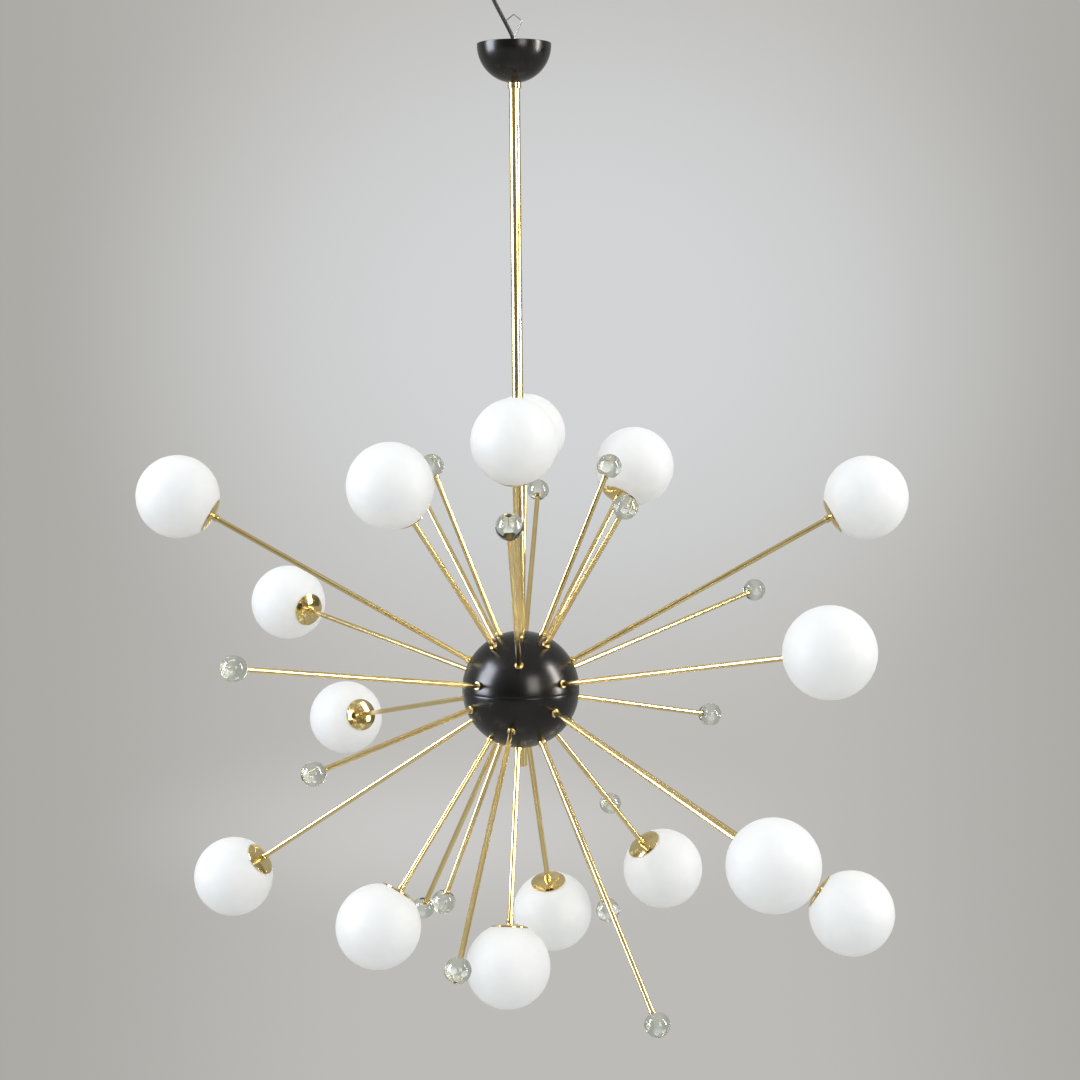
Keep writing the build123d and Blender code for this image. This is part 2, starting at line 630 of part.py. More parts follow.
for dome in DOMES:
    globe_arms = GLOBE_ARMS[dome]
    crystal_arms = CRYSTAL_ARMS[dome]
    all_arms = globe_arms + crystal_arms

    with BuildPart() as globe_rods:
        for arm in globe_arms:
            with BuildSketch(arm.plane(ROD_START)):
                Circle(ROD_RADIUS)
                Circle(ROD_BORE, mode=Mode.SUBTRACT)
            extrude(amount=tail_to_ferrule + arm.rod + rod_into_cap)
    write(globe_rods, f"{dome}_globe_arms")

    with BuildPart() as crystal_rods:
        for arm in crystal_arms:
            with BuildSketch(arm.plane(ROD_START)):
                Circle(ROD_RADIUS)
            extrude(amount=tail_to_ferrule + arm.rod + rod_into_collar)
    write(crystal_rods, f"{dome}_crystal_arms")

    with BuildPart() as arm_leads:
        for arm in globe_arms:
            with BuildSketch(arm.plane(lead_start)):
                Circle(LEAD_RADIUS)
            extrude(amount=arm.cap + CAP_TO_HOLDER - SEAT_GAP - lead_start)
    write(arm_leads, f"{dome}_arm_leads")

    group(f"{dome}_hub_ferrules", hub_ferrule, [arm.plane(HUB_RADIUS) for arm in all_arms])
    group(f"{dome}_arm_nuts", nut, [arm.plane(NUT_SEAT - NUT_LENGTH) for arm in all_arms])
    group(f"{dome}_cap_ferrules", cap_ferrule, [arm.plane(arm.fitting) for arm in globe_arms])
    group(f"{dome}_globe_caps", globe_cap.part, [arm.plane(arm.cap) for arm in globe_arms])
    group(f"{dome}_shade_carriers", shade_carrier, [arm.plane(arm.cap + CARRIER_SEAT) for arm in globe_arms])
    group(f"{dome}_carrier_nuts", nut, [arm.plane(arm.cap + CAP_TO_NUT) for arm in globe_arms])
    group(f"{dome}_lampholders", lampholder, [arm.plane(arm.cap + CAP_TO_HOLDER) for arm in globe_arms])
    group(f"{dome}_bulbs", bulb.part, [arm.plane(arm.cap + CAP_TO_BULB) for arm in globe_arms])
    group(f"{dome}_crystal_collars", crystal_collar.part, [arm.plane(arm.fitting) for arm in crystal_arms])
    group(
        f"{dome}_crystals",
        crystal.part,
        [arm.plane(arm.fitting + CRYSTAL_COLLAR_LENGTH) for arm in crystal_arms],
    )
    for number, arm in enumerate(globe_arms, start=1):
        group(f"{dome}_globe_{number}", globe.part, [arm.plane(arm.cap + CAP_TO_CUT)])
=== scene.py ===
"""A sputnik chandelier: opal glass globes and crystal balls on brass arms round a black hub.

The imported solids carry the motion. This script dresses them: what shows is turned again from
finer profiles in the same frame, in metres, and what stays hidden gets its material.
"""

import logging
import math
from dataclasses import dataclass, field
from enum import Enum
from typing import Iterable, Optional, Sequence

import bmesh
import bpy
from mathutils import Matrix, Vector

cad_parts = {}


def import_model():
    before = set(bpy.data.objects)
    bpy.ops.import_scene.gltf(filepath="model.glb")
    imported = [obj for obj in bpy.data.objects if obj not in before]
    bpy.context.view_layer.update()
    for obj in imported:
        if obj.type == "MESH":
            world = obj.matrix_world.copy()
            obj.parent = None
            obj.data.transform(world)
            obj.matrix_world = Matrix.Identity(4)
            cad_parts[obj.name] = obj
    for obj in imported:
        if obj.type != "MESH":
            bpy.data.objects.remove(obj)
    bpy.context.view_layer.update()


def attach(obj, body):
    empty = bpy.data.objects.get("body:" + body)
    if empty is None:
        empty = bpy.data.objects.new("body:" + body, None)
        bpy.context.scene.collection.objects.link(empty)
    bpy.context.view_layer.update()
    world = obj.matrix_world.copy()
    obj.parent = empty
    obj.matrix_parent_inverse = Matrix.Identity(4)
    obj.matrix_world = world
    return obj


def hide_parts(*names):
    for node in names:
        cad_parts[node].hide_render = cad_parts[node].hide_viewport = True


LOG = logging.getLogger("chandelier")
MM = 0.001
ON_STEM = Matrix.Identity(4)  # the place of everything that is turned about the stem

Corner = tuple[float, float, float]
Profile = list[tuple[float, float]]


# ------------------------------------------------------------------- colour and nodes


def srgb(code: str) -> tuple[float, float, float, float]:
    """Turns a colour as it is seen into the linear one that the shaders take.

    Args:
        code: The colour as six hex digits after a hash.

    Returns:
        Linear red, green, blue and an alpha of one.
    """
    channels = [int(code[i : i + 2], 16) / 255 for i in (1, 3, 5)]
    linear = [c / 12.92 if c <= 0.04045 else ((c + 0.055) / 1.055) ** 2.4 for c in channels]
    return linear[0], linear[1], linear[2], 1.0


def add_node(
    tree: bpy.types.NodeTree,
    kind: str,
    settings: Optional[dict[str, object]] = None,
    sockets: Optional[dict[object, object]] = None,
) -> bpy.types.Node:
    """Adds one node with its settings, its socket values and its links.

    Args:
        tree: The node tree that takes the node.
        kind: The node's type name without its "ShaderNode" start.
        settings: Properties of the node by name.
        sockets: Inputs by name or number. Another node's output is linked, all else is set.

    Returns:
        The new node.
    """
    node = tree.nodes.new("ShaderNode" + kind)
    for name, value in (settings or {}).items():
        setattr(node, name, value)
    for key, value in (sockets or {}).items():
        if isinstance(value, bpy.types.NodeSocket):
            tree.links.new(value, node.inputs[key])
        else:
            node.inputs[key].default_value = value
    return node


def either(tree: bpy.types.NodeTree, *flags: bpy.types.NodeSocket) -> bpy.types.NodeSocket:
    """Joins flags, such as the kinds of ray that a mix is meant for.

    Args:
        tree: The node tree.
        flags: Numbers of zero or one.

    Returns:
        The largest of them.
    """
    found = flags[0]
    for flag in flags[1:]:
        found = add_node(tree, "Math", {"operation": "MAXIMUM"}, {0: found, 1: flag}).outputs[0]
    return found


# ------------------------------------------------------------------------- finishes


class Grain(Enum):
    """How the marks of making run over a metal surface."""

    DRAWN = "drawn"  # along the piece, as a die leaves them
    TURNED = "turned"  # round the piece, as a lathe or a spinning chuck leaves them
    PLATED = "plated"  # no direction


@dataclass(frozen=True)
class Finish:
    """A material by name, with the part that every finish shares."""

    name: str

    def surface(self, tree: bpy.types.NodeTree) -> bpy.types.NodeSocket:
        """Adds this finish's own nodes and hands back their shader."""
        raise NotImplementedError

    def material(self) -> bpy.types.Material:
        """Makes the Blender material once and hands the same one back after that.

        Returns:
            The material with this finish's name.
        """
        found = bpy.data.materials.get(self.name)
        if found is not None:
            return found
        made = bpy.data.materials.new(self.name)
        made.use_nodes = True
        made.node_tree.nodes.clear()
        shader = self.surface(made.node_tree)
        add_node(made.node_tree, "OutputMaterial", sockets={"Surface": shader})
        return made

    def local(self, tree: bpy.types.NodeTree) -> bpy.types.NodeSocket:
        """The place on a piece, measured from its own axis, so that a pattern follows each arm."""
        return add_node(tree, "Attribute", {"attribute_name": "local"}).outputs["Vector"]

    def noise(
        self,
        tree: bpy.types.NodeTree,
        place: bpy.types.NodeSocket,
        cell_mm: tuple[float, float, float],
        detail: float,
    ) -> bpy.types.NodeSocket:
        """A cloudy pattern with cells of a real size.

        Args:
            tree: The node tree.
            place: The coordinates in metres.
            cell_mm: The size of a cell along each axis, in millimetres.
            detail: How many finer layers the pattern has.

        Returns:
            The pattern's value, around one half.
        """
        scale = tuple(1 / (c * MM) for c in cell_mm)
        mapped = add_node(tree, "Mapping", {"vector_type": "POINT"}, {"Vector": place, "Scale": scale})
        sockets = {"Vector": mapped.outputs[0], "Scale": 1.0, "Detail": detail}
        return add_node(tree, "TexNoise", {"noise_dimensions": "3D"}, sockets).outputs["Fac"]

    def between(
        self,
        tree: bpy.types.NodeTree,
        fac: bpy.types.NodeSocket,
        low: float,
        high: float,
        span: tuple[float, float] = (0.3, 0.7),
    ) -> bpy.types.NodeSocket:
        """A number that runs between two values as a pattern runs over its span.

        Args:
            tree: The node tree.
            fac: The pattern.
            low: The number where the pattern is low.
            high: The number where it is high.
            span: The pattern's values between which the number changes.

        Returns:
            The number.
        """
        sockets = {"Value": fac, "From Min": span[0], "From Max": span[1], "To Min": low, "To Max": high}
        return add_node(tree, "MapRange", sockets=sockets).outputs[0]

    def tint(
        self,
        tree: bpy.types.NodeTree,
        fac: bpy.types.NodeSocket,
        low: str,
        high: str,
        span: tuple[float, float] = (0.3, 0.7),
    ) -> bpy.types.NodeSocket:
        """A colour that runs between two hex values as a pattern runs over its span.

        Args:
            tree: The node tree.
            fac: The pattern.
            low: The colour where the pattern is low.
            high: The colour where it is high.
            span: The pattern's values between which the colour changes.

        Returns:
            The colour.
        """
        mix = self.between(tree, fac, 0.0, 1.0, span)
        sockets = {0: mix, 6: srgb(low), 7: srgb(high)}
        return add_node(tree, "Mix", {"data_type": "RGBA"}, sockets).outputs[2]

    def bump(
        self, tree: bpy.types.NodeTree, height: bpy.types.NodeSocket, depth_mm: float
    ) -> bpy.types.NodeSocket:
        """A normal from a height pattern of a real depth.

        Args:
            tree: The node tree.
            height: The pattern.
            depth_mm: How deep it is from zero to one, in millimetres.

        Returns:
            The normal.
        """
        sockets = {"Height": height, "Distance": depth_mm * MM, "Strength": 1.0}
        return add_node(tree, "Bump", sockets=sockets).outputs[0]


@dataclass(frozen=True)
class OpalGlass(Finish):
    """Blown opal glass, acid etched outside.

    The milk-white layer scatters light under the skin, so the globes look evenly lit with no
    hard highlight, and the blown wall's thickness drifts a little from place to place.
    """

    thin: str = "#EFF1F2"
    thick: str = "#F8F8F7"
    roughness: float = 0.6
    scatter_mm: float = 7.0

    def surface(self, tree: bpy.types.NodeTree) -> bpy.types.NodeSocket:
        """White that drifts over 45 mm, with the etched skin's grain as bump.

        Args:
            tree: The material's node tree.

        Returns:
            The shader to be shown.
        """
        place = self.local(tree)
        wall = self.noise(tree, place, (45, 45, 45), 2.0)
        # Etching grains are under 0.1 mm; they are drawn at 0.6 mm, the least that shows.
        etch = self.noise(tree, place, (0.6, 0.6, 0.6), 1.0)
        sockets = {
            "Base Color": self.tint(tree, wall, self.thin, self.thick),
            "Roughness": self.between(tree, wall, self.roughness + 0.03, self.roughness - 0.03),
            "IOR": 1.5,
            "Subsurface Weight": 0.35,
            "Subsurface Radius": (1.0, 1.0, 1.0),
            "Subsurface Scale": self.scatter_mm * MM,
            "Normal": self.bump(tree, etch, 0.01),
        }
        return add_node(tree, "BsdfPrincipled", sockets=sockets).outputs[0]


@dataclass(frozen=True)
class LeadCrystal(Finish):
    """Lead crystal, pressed and fire polished.

    It bends the room upside down inside each ball, with dark crescents at the rim and sharp
    highlights. The glass is faintly green where it is thick, and the skin has slow waves.
    """

    thin: str = "#F8FBF6"
    thick: str = "#E9F0E6"
    roughness: float = 0.015

    def surface(self, tree: bpy.types.NodeTree) -> bpy.types.NodeSocket:
        """Clear glass with waves of 9 mm in its skin.

        Args:
            tree: The material's node tree.

        Returns:
            The shader to be shown.
        """
        place = self.local(tree)
        waves = self.noise(tree, place, (9, 9, 9), 1.0)
        sockets = {
            "Base Color": self.tint(tree, waves, self.thick, self.thin),
            "Roughness": self.roughness,
            "IOR": 1.54,
            "Transmission Weight": 1.0,
            "Normal": self.bump(tree, waves, 0.35),
        }
        return add_node(tree, "BsdfPrincipled", sockets=sockets).outputs[0]


@dataclass(frozen=True)
class PolishedBrass(Finish):
    """Brass, polished and lacquered, drawn as tube or turned.

    It mirrors the room in yellow. Along a drawn tube fine die lines pull each reflection into
    long streaks; a turned piece has the same lines round it. The lacquer has tarnished a
    little where hands hold it, which browns and dulls it.
    """

    bright: str = "#F2DFA2"
    aged: str = "#EBD091"
    roughness: float = 0.17
    uneven: float = 0.006
    line_mm: float = 0.0003
    grain: Grain = Grain.DRAWN

    def surface(self, tree: bpy.types.NodeTree) -> bpy.types.NodeSocket:
        """Yellow metal with die or lathe lines, in colour, roughness and bump.

        Args:
            tree: The material's node tree.

        Returns:
            The shader to be shown.
        """
        place = self.local(tree)
        # Die lines are about 0.05 mm apart; they are drawn at 2 mm, the least that shows.
        cells = (2.0, 2.0, 400.0) if self.grain is Grain.DRAWN else (20.0, 20.0, 1.5)
        lines = self.noise(tree, place, cells, 2.0)
        stain = self.noise(tree, place, (22, 22, 60), 3.0)
        dull, smooth = self.roughness + self.uneven, self.roughness - self.uneven
        sockets = {
            "Base Color": self.tint(tree, stain, self.aged, self.bright, (0.35, 0.6)),
            "Metallic": 1.0,
            "Roughness": self.between(tree, lines, dull, smooth),
            "Normal": self.bump(tree, lines, self.line_mm),
            "Coat Weight": 0.2,
            "Coat Roughness": 0.06,
        }
        return add_node(tree, "BsdfPrincipled", sockets=sockets).outputs[0]


@dataclass(frozen=True)
class BlackLacquer(Finish):
    """Black lacquer, sprayed on spun steel.

    A warm black with a silky shine: lamps show in it as soft-edged patches. Spraying leaves a
    slow orange peel, and wiping leaves the shine uneven.
    """

    deep: str = "#060606"
    worn: str = "#0B0A0A"
    roughness: float = 0.25

    def surface(self, tree: bpy.types.NodeTree) -> bpy.types.NodeSocket:
        """Near black with orange peel of 2.5 mm and wiping marks of 30 mm.

        Args:
            tree: The material's node tree.

        Returns:
            The shader to be shown.
        """
        place = self.local(tree)
        peel = self.noise(tree, place, (2.5, 2.5, 2.5), 1.0)
        wiped = self.noise(tree, place, (30, 30, 18), 3.0)
        sockets = {
            "Base Color": self.tint(tree, wiped, self.deep, self.worn),
            "Roughness": self.between(tree, wiped, self.roughness - 0.015, self.roughness + 0.02),
            "IOR": 1.5,
            "Normal": self.bump(tree, peel, 0.01),
        }
        return add_node(tree, "BsdfPrincipled", sockets=sockets).outputs[0]


@dataclass(frozen=True)
class PlainMetal(Finish):
    """A grey metal, such as zinc-plated steel, bare wire or a crimped aluminium sleeve.

    The surface is a soft mirror that is broken up into small patches by the plating's
    crystals or the wire's drawing lines.
    """

    dark: str = "#8E9092"
    light: str = "#B9BBBD"
    roughness: float = 0.3
    grain: Grain = Grain.PLATED

    def surface(self, tree: bpy.types.NodeTree) -> bpy.types.NodeSocket:
        """Grey metal with patches of 3 mm or lines along the wire.

        Args:
            tree: The material's node tree.

        Returns:
            The shader to be shown.
        """
        place = self.local(tree)
        cells = (0.5, 0.5, 20.0) if self.grain is Grain.DRAWN else (3.0, 3.0, 3.0)
        patches = self.noise(tree, place, cells, 3.0)
        sockets = {
            "Base Color": self.tint(tree, patches, self.dark, self.light),
            "Metallic": 1.0,
            "Roughness": self.between(tree, patches, self.roughness - 0.06, self.roughness + 0.08),
            "Normal": self.bump(tree, patches, 0.02),
        }
        return add_node(tree, "BsdfPrincipled", sockets=sockets).outputs[0]


@dataclass(frozen=True)
class Moulding(Finish):
    """A plastic, rubber or ceramic piece, extruded, moulded or pressed.

    A dielectric with a spark-eroded or die-drawn skin: its shine is broad and weak, and its
    colour is the same right through, with a slight cloudiness.
    """

    dark: str = "#161616"
    light: str = "#1F1F1F"
    roughness: float = 0.5
    ior: float = 1.5
    cell_mm: float = 0.8
    skin_mm: float = 0.03

    def surface(self, tree: bpy.types.NodeTree) -> bpy.types.NodeSocket:
        """Body colour with the mould's fine texture.

        Args:
            tree: The material's node tree.

        Returns:
            The shader to be shown.
        """
        place = self.local(tree)
        skin = self.noise(tree, place, (self.cell_mm,) * 3, 2.0)
        cloud = self.noise(tree, place, (12, 12, 12), 2.0)
        sockets = {
            "Base Color": self.tint(tree, cloud, self.dark, self.light),
            "Roughness": self.between(tree, skin, self.roughness - 0.05, self.roughness + 0.07),
            "IOR": self.ior,
            "Normal": self.bump(tree, skin, self.skin_mm),
        }
        return add_node(tree, "BsdfPrincipled", sockets=sockets).outputs[0]


@dataclass(frozen=True)
class StudioPaper(Finish):
    """Seamless grey paper, with painted light on its wall: a painted pool of light, palest high behind
    the middle and darker towards the sides.

    The wall's emission shows this painted light to the camera and in the metal and glass; the floor
    is lit as paper is and so keeps the shadow.
    """

    # The first four colours are painted light on the wall: a painted pool of light high up, a painted
    # falloff from the middle to darker edges, and a second painted pool low down where the paper rolls out.
    painted_pool_high: str = "#D2D4D5"
    middle: str = "#BDBBB7"
    edge: str = "#ABAAA5"
    painted_pool_low: str = "#CBCAC8"
    floor: str = "#D3D2CF"
    floor_top: tuple[float, float] = (-4.05, -3.9)

    def fade(
        self,
        tree: bpy.types.NodeTree,
        place: bpy.types.NodeSocket,
        centre: tuple[float, float],
        stretch: tuple[float, float],
        span: tuple[float, float],
    ) -> bpy.types.NodeSocket:
        """A soft oval on the wall.

        Args:
            tree: The node tree.
            place: The coordinates in metres.
            centre: Where its middle is, across and up, in metres.
            stretch: What distances across and up count for.
            span: The distances between which it runs from zero to one.

        Returns:
            Zero in the middle and one outside.
        """
        scale = {"Vector": place, "Scale": (stretch[0], 0.0, stretch[1])}
        scale["Location"] = (-centre[0] * stretch[0], 0.0, -centre[1] * stretch[1])
        flat = add_node(tree, "Mapping", {"vector_type": "POINT"}, scale)
        away = add_node(tree, "VectorMath", {"operation": "LENGTH"}, {0: flat.outputs[0]})
        sockets = {"Value": away.outputs["Value"], "From Min": span[0], "From Max": span[1]}
        return add_node(tree, "MapRange", {"interpolation_type": "SMOOTHSTEP"}, sockets).outputs[0]

    def surface(self, tree: bpy.types.NodeTree) -> bpy.types.NodeSocket:
        """Paper fibres of 4 mm, a wide painted pool of light high up and a flat painted one where the paper
        rolls out.

        Args:
            tree: The material's node tree.

        Returns:
            The shader to be shown.
        """
        place = add_node(tree, "NewGeometry").outputs["Position"]
        split = add_node(tree, "SeparateXYZ", sockets={0: place})
        # Painted light: the wall's colour darkens from the middle to the sides, with a brighter painted pool
        # high up and another painted pool low down where the paper rolls out.
        sides = self.fade(tree, place, (0.17, 0.0), (1.0, 0.0), (0.75, 2.7))
        pool = self.tint(tree, sides, self.middle, self.edge, (0.0, 1.0))
        for colour, fade in (
            (self.painted_pool_high, self.fade(tree, place, (0.2, -0.4), (1.0, 1.2), (0.5, 2.55))),
            (self.painted_pool_low, self.fade(tree, place, (-0.34, -2.7), (0.3, 1.0), (0.0, 0.54))),
        ):
            sockets = {0: fade, 6: srgb(colour), 7: pool}
            pool = add_node(tree, "Mix", {"data_type": "RGBA"}, sockets).outputs[2]
        fibres = self.noise(tree, place, (4, 4, 4), 2.0)
        sockets = {"Base Color": srgb(self.floor), "Roughness": 0.9, "Normal": self.bump(tree, fibres, 0.1)}
        lit = add_node(tree, "BsdfPrincipled", sockets=sockets)
        # The wall is an emission of these painted light colours for camera, glossy and transmission rays;
        # the floor stays lit paper.
        seen = add_node(tree, "Emission", sockets={"Color": pool, "Strength": 1.0})
        wall = self.between(tree, split.outputs["Z"], 0.0, 1.0, self.floor_top)
        path = add_node(tree, "LightPath")
        sockets = {0: path.outputs["Is Camera Ray"], 1: wall}
        direct = add_node(tree, "Math", {"operation": "MULTIPLY"}, sockets).outputs[0]
        mask = either(tree, direct, path.outputs["Is Glossy Ray"], path.outputs["Is Transmission Ray"])
        sockets = {0: mask, 1: lit.outputs[0], 2: seen.outputs[0]}
        return add_node(tree, "MixShader", sockets=sockets).outputs[0]


OPAL = OpalGlass("opal_glass_acid_etched")
CRYSTAL = LeadCrystal("lead_crystal_fire_polished")
BRASS_TUBE = PolishedBrass("brass_tube_drawn_polished")
BRASS_TURNED = PolishedBrass("brass_turned_polished", roughness=0.1, grain=Grain.TURNED)
LACQUER = BlackLacquer("steel_spun_black_lacquered")
ZINC = PlainMetal("steel_zinc_plated")
WIRE = PlainMetal("steel_wire_bare", dark="#A9ABAD", light="#CDCFD1", roughness=0.25, grain=Grain.DRAWN)
CRIMP = PlainMetal("aluminium_crimped", dark="#A9ABAD", light="#C9CBCD", roughness=0.35)
PVC = Moulding("pvc_extruded_black", "#131313", "#1A1A1A", 0.42, 1.53, cell_mm=2.0, skin_mm=0.006)
PHENOLIC = Moulding("phenolic_moulded_black", dark="#1A1817", light="#242120", roughness=0.4, ior=1.6)
STEATITE = Moulding("steatite_pressed_white", dark="#E2DFD8", light="#EDEBE6", roughness=0.35, ior=1.6)
SILICONE = Moulding("silicone_sleeving_white", dark="#DCDAD6", light="#E8E6E2", roughness=0.55, ior=1.41)
QUARTZ = Moulding("quartz_bulb_frosted", "#E6E7E6", "#F1F2F1", roughness=0.3, ior=1.46, cell_mm=0.4)
PAPER = StudioPaper("paper_seamless_grey")


# ------------------------------------------------------------------ shapes and placing


def rounded(corners: Sequence[Corner], closed: bool = True, steps: int = 4) -> Profile:
    """Rounds the corners of a half section.

    Args:
        corners: Radius, height and fillet of each corner, in millimetres.
        closed: Whether the last corner joins the first.
        steps: How many pieces each fillet gets.

    Returns:
        The points of the section, in millimetres.
    """
    points: Profile = []
    count = len(corners)
    for i, (r, z, fillet) in enumerate(corners):
        here = Vector((r, z))
        inner = closed or 0 < i < count - 1
        if fillet <= 0 or not inner:
            points.append((r, z))
            continue
        back = Vector(corners[i - 1][:2]) - here
        ahead = Vector(corners[(i + 1) % count][:2]) - here
        half = back.angle(ahead) / 2
        run = min(fillet / math.tan(half), 0.48 * min(back.length, ahead.length))
        radius = run * math.tan(half)
        centre = here + (back.normalized() + ahead.normalized()).normalized() * radius / math.sin(half)
        start = here + back.normalized() * run - centre
        end = here + ahead.normalized() * run - centre
        sweep = start.angle_signed(end)
        for k in range(steps + 1):
            spoke = start.copy()
            spoke.rotate(Matrix.Rotation(-sweep * k / steps, 2))
            points.append((centre.x + spoke.x, centre.y + spoke.y))
    return points


def arc(centre_z: float, radius: float, start_deg: float, end_deg: float, steps: int) -> Profile:
    """Points of a circle whose centre is on the axis.

    Args:
        centre_z: Height of the centre.
        radius: The circle's radius.
        start_deg: Where it starts; 0 is level and 90 is the top.
        end_deg: Where it ends.
        steps: How many pieces it gets.

    Returns:
        The points, with none past the axis.
    """
    spread = [math.radians(start_deg + (end_deg - start_deg) * k / steps) for k in range(steps + 1)]
    return [(max(0.0, radius * math.cos(a)), centre_z + radius * math.sin(a)) for a in spread]


@dataclass
class Turning:
    """One half section, in millimetres, that is turned about its own Z axis at one or more places."""

    section: Profile
    segments: int = 48
    closed: bool = True

    def add_to(self, mesh: bmesh.types.BMesh, place: Matrix) -> None:
        """Turns one copy into a mesh, and notes where each point is from the copy's own axis.

        Args:
            mesh: The mesh that takes the copy.
            place: The copy's place in the frame, in metres.
        """
        layer = mesh.verts.layers.float_vector.get("local") or mesh.verts.layers.float_vector.new("local")
        rings: list[list[bmesh.types.BMVert]] = []
        for r, z in self.section:
            turns = 1 if r < 1e-6 else self.segments
            ring = []
            for k in range(turns):
                angle = 2 * math.pi * k / self.segments
                local = Vector((r * math.cos(angle), r * math.sin(angle), z)) * MM
                vert = mesh.verts.new(place @ local)
                vert[layer] = local
                ring.append(vert)
            rings.append(ring)
        pairs = list(zip(rings, rings[1:]))
        if self.closed:
            pairs.append((rings[-1], rings[0]))
        for a, b in pairs:
            for k in range(self.segments):
                ends = [a[k % len(a)], a[(k + 1) % len(a)], b[(k + 1) % len(b)], b[k % len(b)]]
                corners = list(dict.fromkeys(ends))
                if len(corners) > 2:
                    mesh.faces.new(corners)


def finish_mesh(name: str, mesh: bmesh.types.BMesh, sharp_deg: float = 32.0) -> bpy.types.Object:
    """Turns a finished bmesh into an object that is smooth except at real edges.

    Args:
        name: The piece's name.
        mesh: The geometry, in the row frame.
        sharp_deg: Edges that turn by more than this stay sharp.

    Returns:
        The linked object.
    """
    bmesh.ops.recalc_face_normals(mesh, faces=mesh.faces)
    data = bpy.data.meshes.new(name)
    mesh.to_mesh(data)
    mesh.free()
    data.shade_smooth()
    data.set_sharp_from_angle(angle=math.radians(sharp_deg))
    piece = bpy.data.objects.new(name, data)
    bpy.context.scene.collection.objects.link(piece)
    return piece


def turned(
    name: str, turnings: Iterable[tuple[Turning, Matrix]], sharp_deg: float = 32.0
) -> bpy.types.Object:
    """Makes one piece from turned copies.

    Args:
        name: The piece's name.
        turnings: Each copy's section and place.
        sharp_deg: Edges that turn by more than this stay sharp.

    Returns:
        The linked object.
    """
    mesh = bmesh.new()
    for turning, place in turnings:
        turning.add_to(mesh, place)
    return finish_mesh(name, mesh, sharp_deg)


def dress(piece: bpy.types.Object, finish: Finish) -> bpy.types.Object:
    """Gives a piece its finish and no other.

    Args:
        piece: The piece.
        finish: Its material.

    Returns:
        The same piece.
    """
    piece.data.materials.clear()
    piece.data.materials.append(finish.material())
    return piece


def seat(
    piece: bpy.types.Object, body: str, finish: Finish, replaces: Sequence[str] = ()
) -> bpy.types.Object:
    """Dresses a piece, lets it ride on its body and stand for the nodes that it replaces.

    Args:
        piece: The new piece, in place.
        body: The body that it moves with.
        finish: Its material.
        replaces: The solids that it is shown in place of.

    Returns:
        The same piece.
    """
    dress(piece, finish)
    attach(piece, body)
    if replaces:
        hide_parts(*replaces)
    LOG.info("%s rides on %s for %s", piece.name, body, ", ".join(replaces) or "itself")
    return piece


def local_from_place(piece: bpy.types.Object) -> None:
    """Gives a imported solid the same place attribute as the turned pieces, for its patterns.

    Args:
        piece: The solid's object.
    """
    data = piece.data
    layer = data.attributes.get("local") or data.attributes.new("local", "FLOAT_VECTOR", "POINT")
    flat = [c for vert in data.vertices for c in vert.co]
    layer.data.foreach_set("vector", flat)


# ------------------------------------------------------------------- the arms' pattern


class Dome(Enum):
    """The two halves of the hub."""

    UPPER = "upper"
    LOWER = "lower"


@dataclass(frozen=True)
class Ring:
    """Four arms at one height of a dome, globe and crystal by turns."""

    elevation: float
    first_azimuth: float
    globe_first: bool
    globe_rod: float
    crystal_rod: float
    leans: tuple[tuple[float, float], ...]


@dataclass(frozen=True)
class Arm:
    """One arm: where it points, in degrees, and how long its bare rod is, in millimetres."""

    azimuth: float
    elevation: float
    rod: float

    @property
    def way(self) -> Vector:
        """The direction out of the hub."""
        a, e = math.radians(self.azimuth), math.radians(self.elevation)
        return Vector((math.sin(a) * math.cos(e), -math.cos(a) * math.cos(e), math.sin(e)))

    def place(self, hub_mm: float, distance_mm: float) -> Matrix:
        """The frame whose Z runs out along the arm.

        Args:
            hub_mm: Height of the hub's centre.
            distance_mm: Distance from the hub's centre.

        Returns:
            The place in the row frame, in metres.
        """
        a = math.radians(self.azimuth)
        out, side = self.way, Vector((math.cos(a), math.sin(a), 0))
        up = out.cross(side)
        turn = Matrix((side, up, out)).transposed().to_4x4()
        spot = (Vector((0, 0, hub_mm)) + out * distance_mm) * MM
        return Matrix.Translation(spot) @ turn


LONG_ROD = 412.0
SHORT_ROD = 239.0


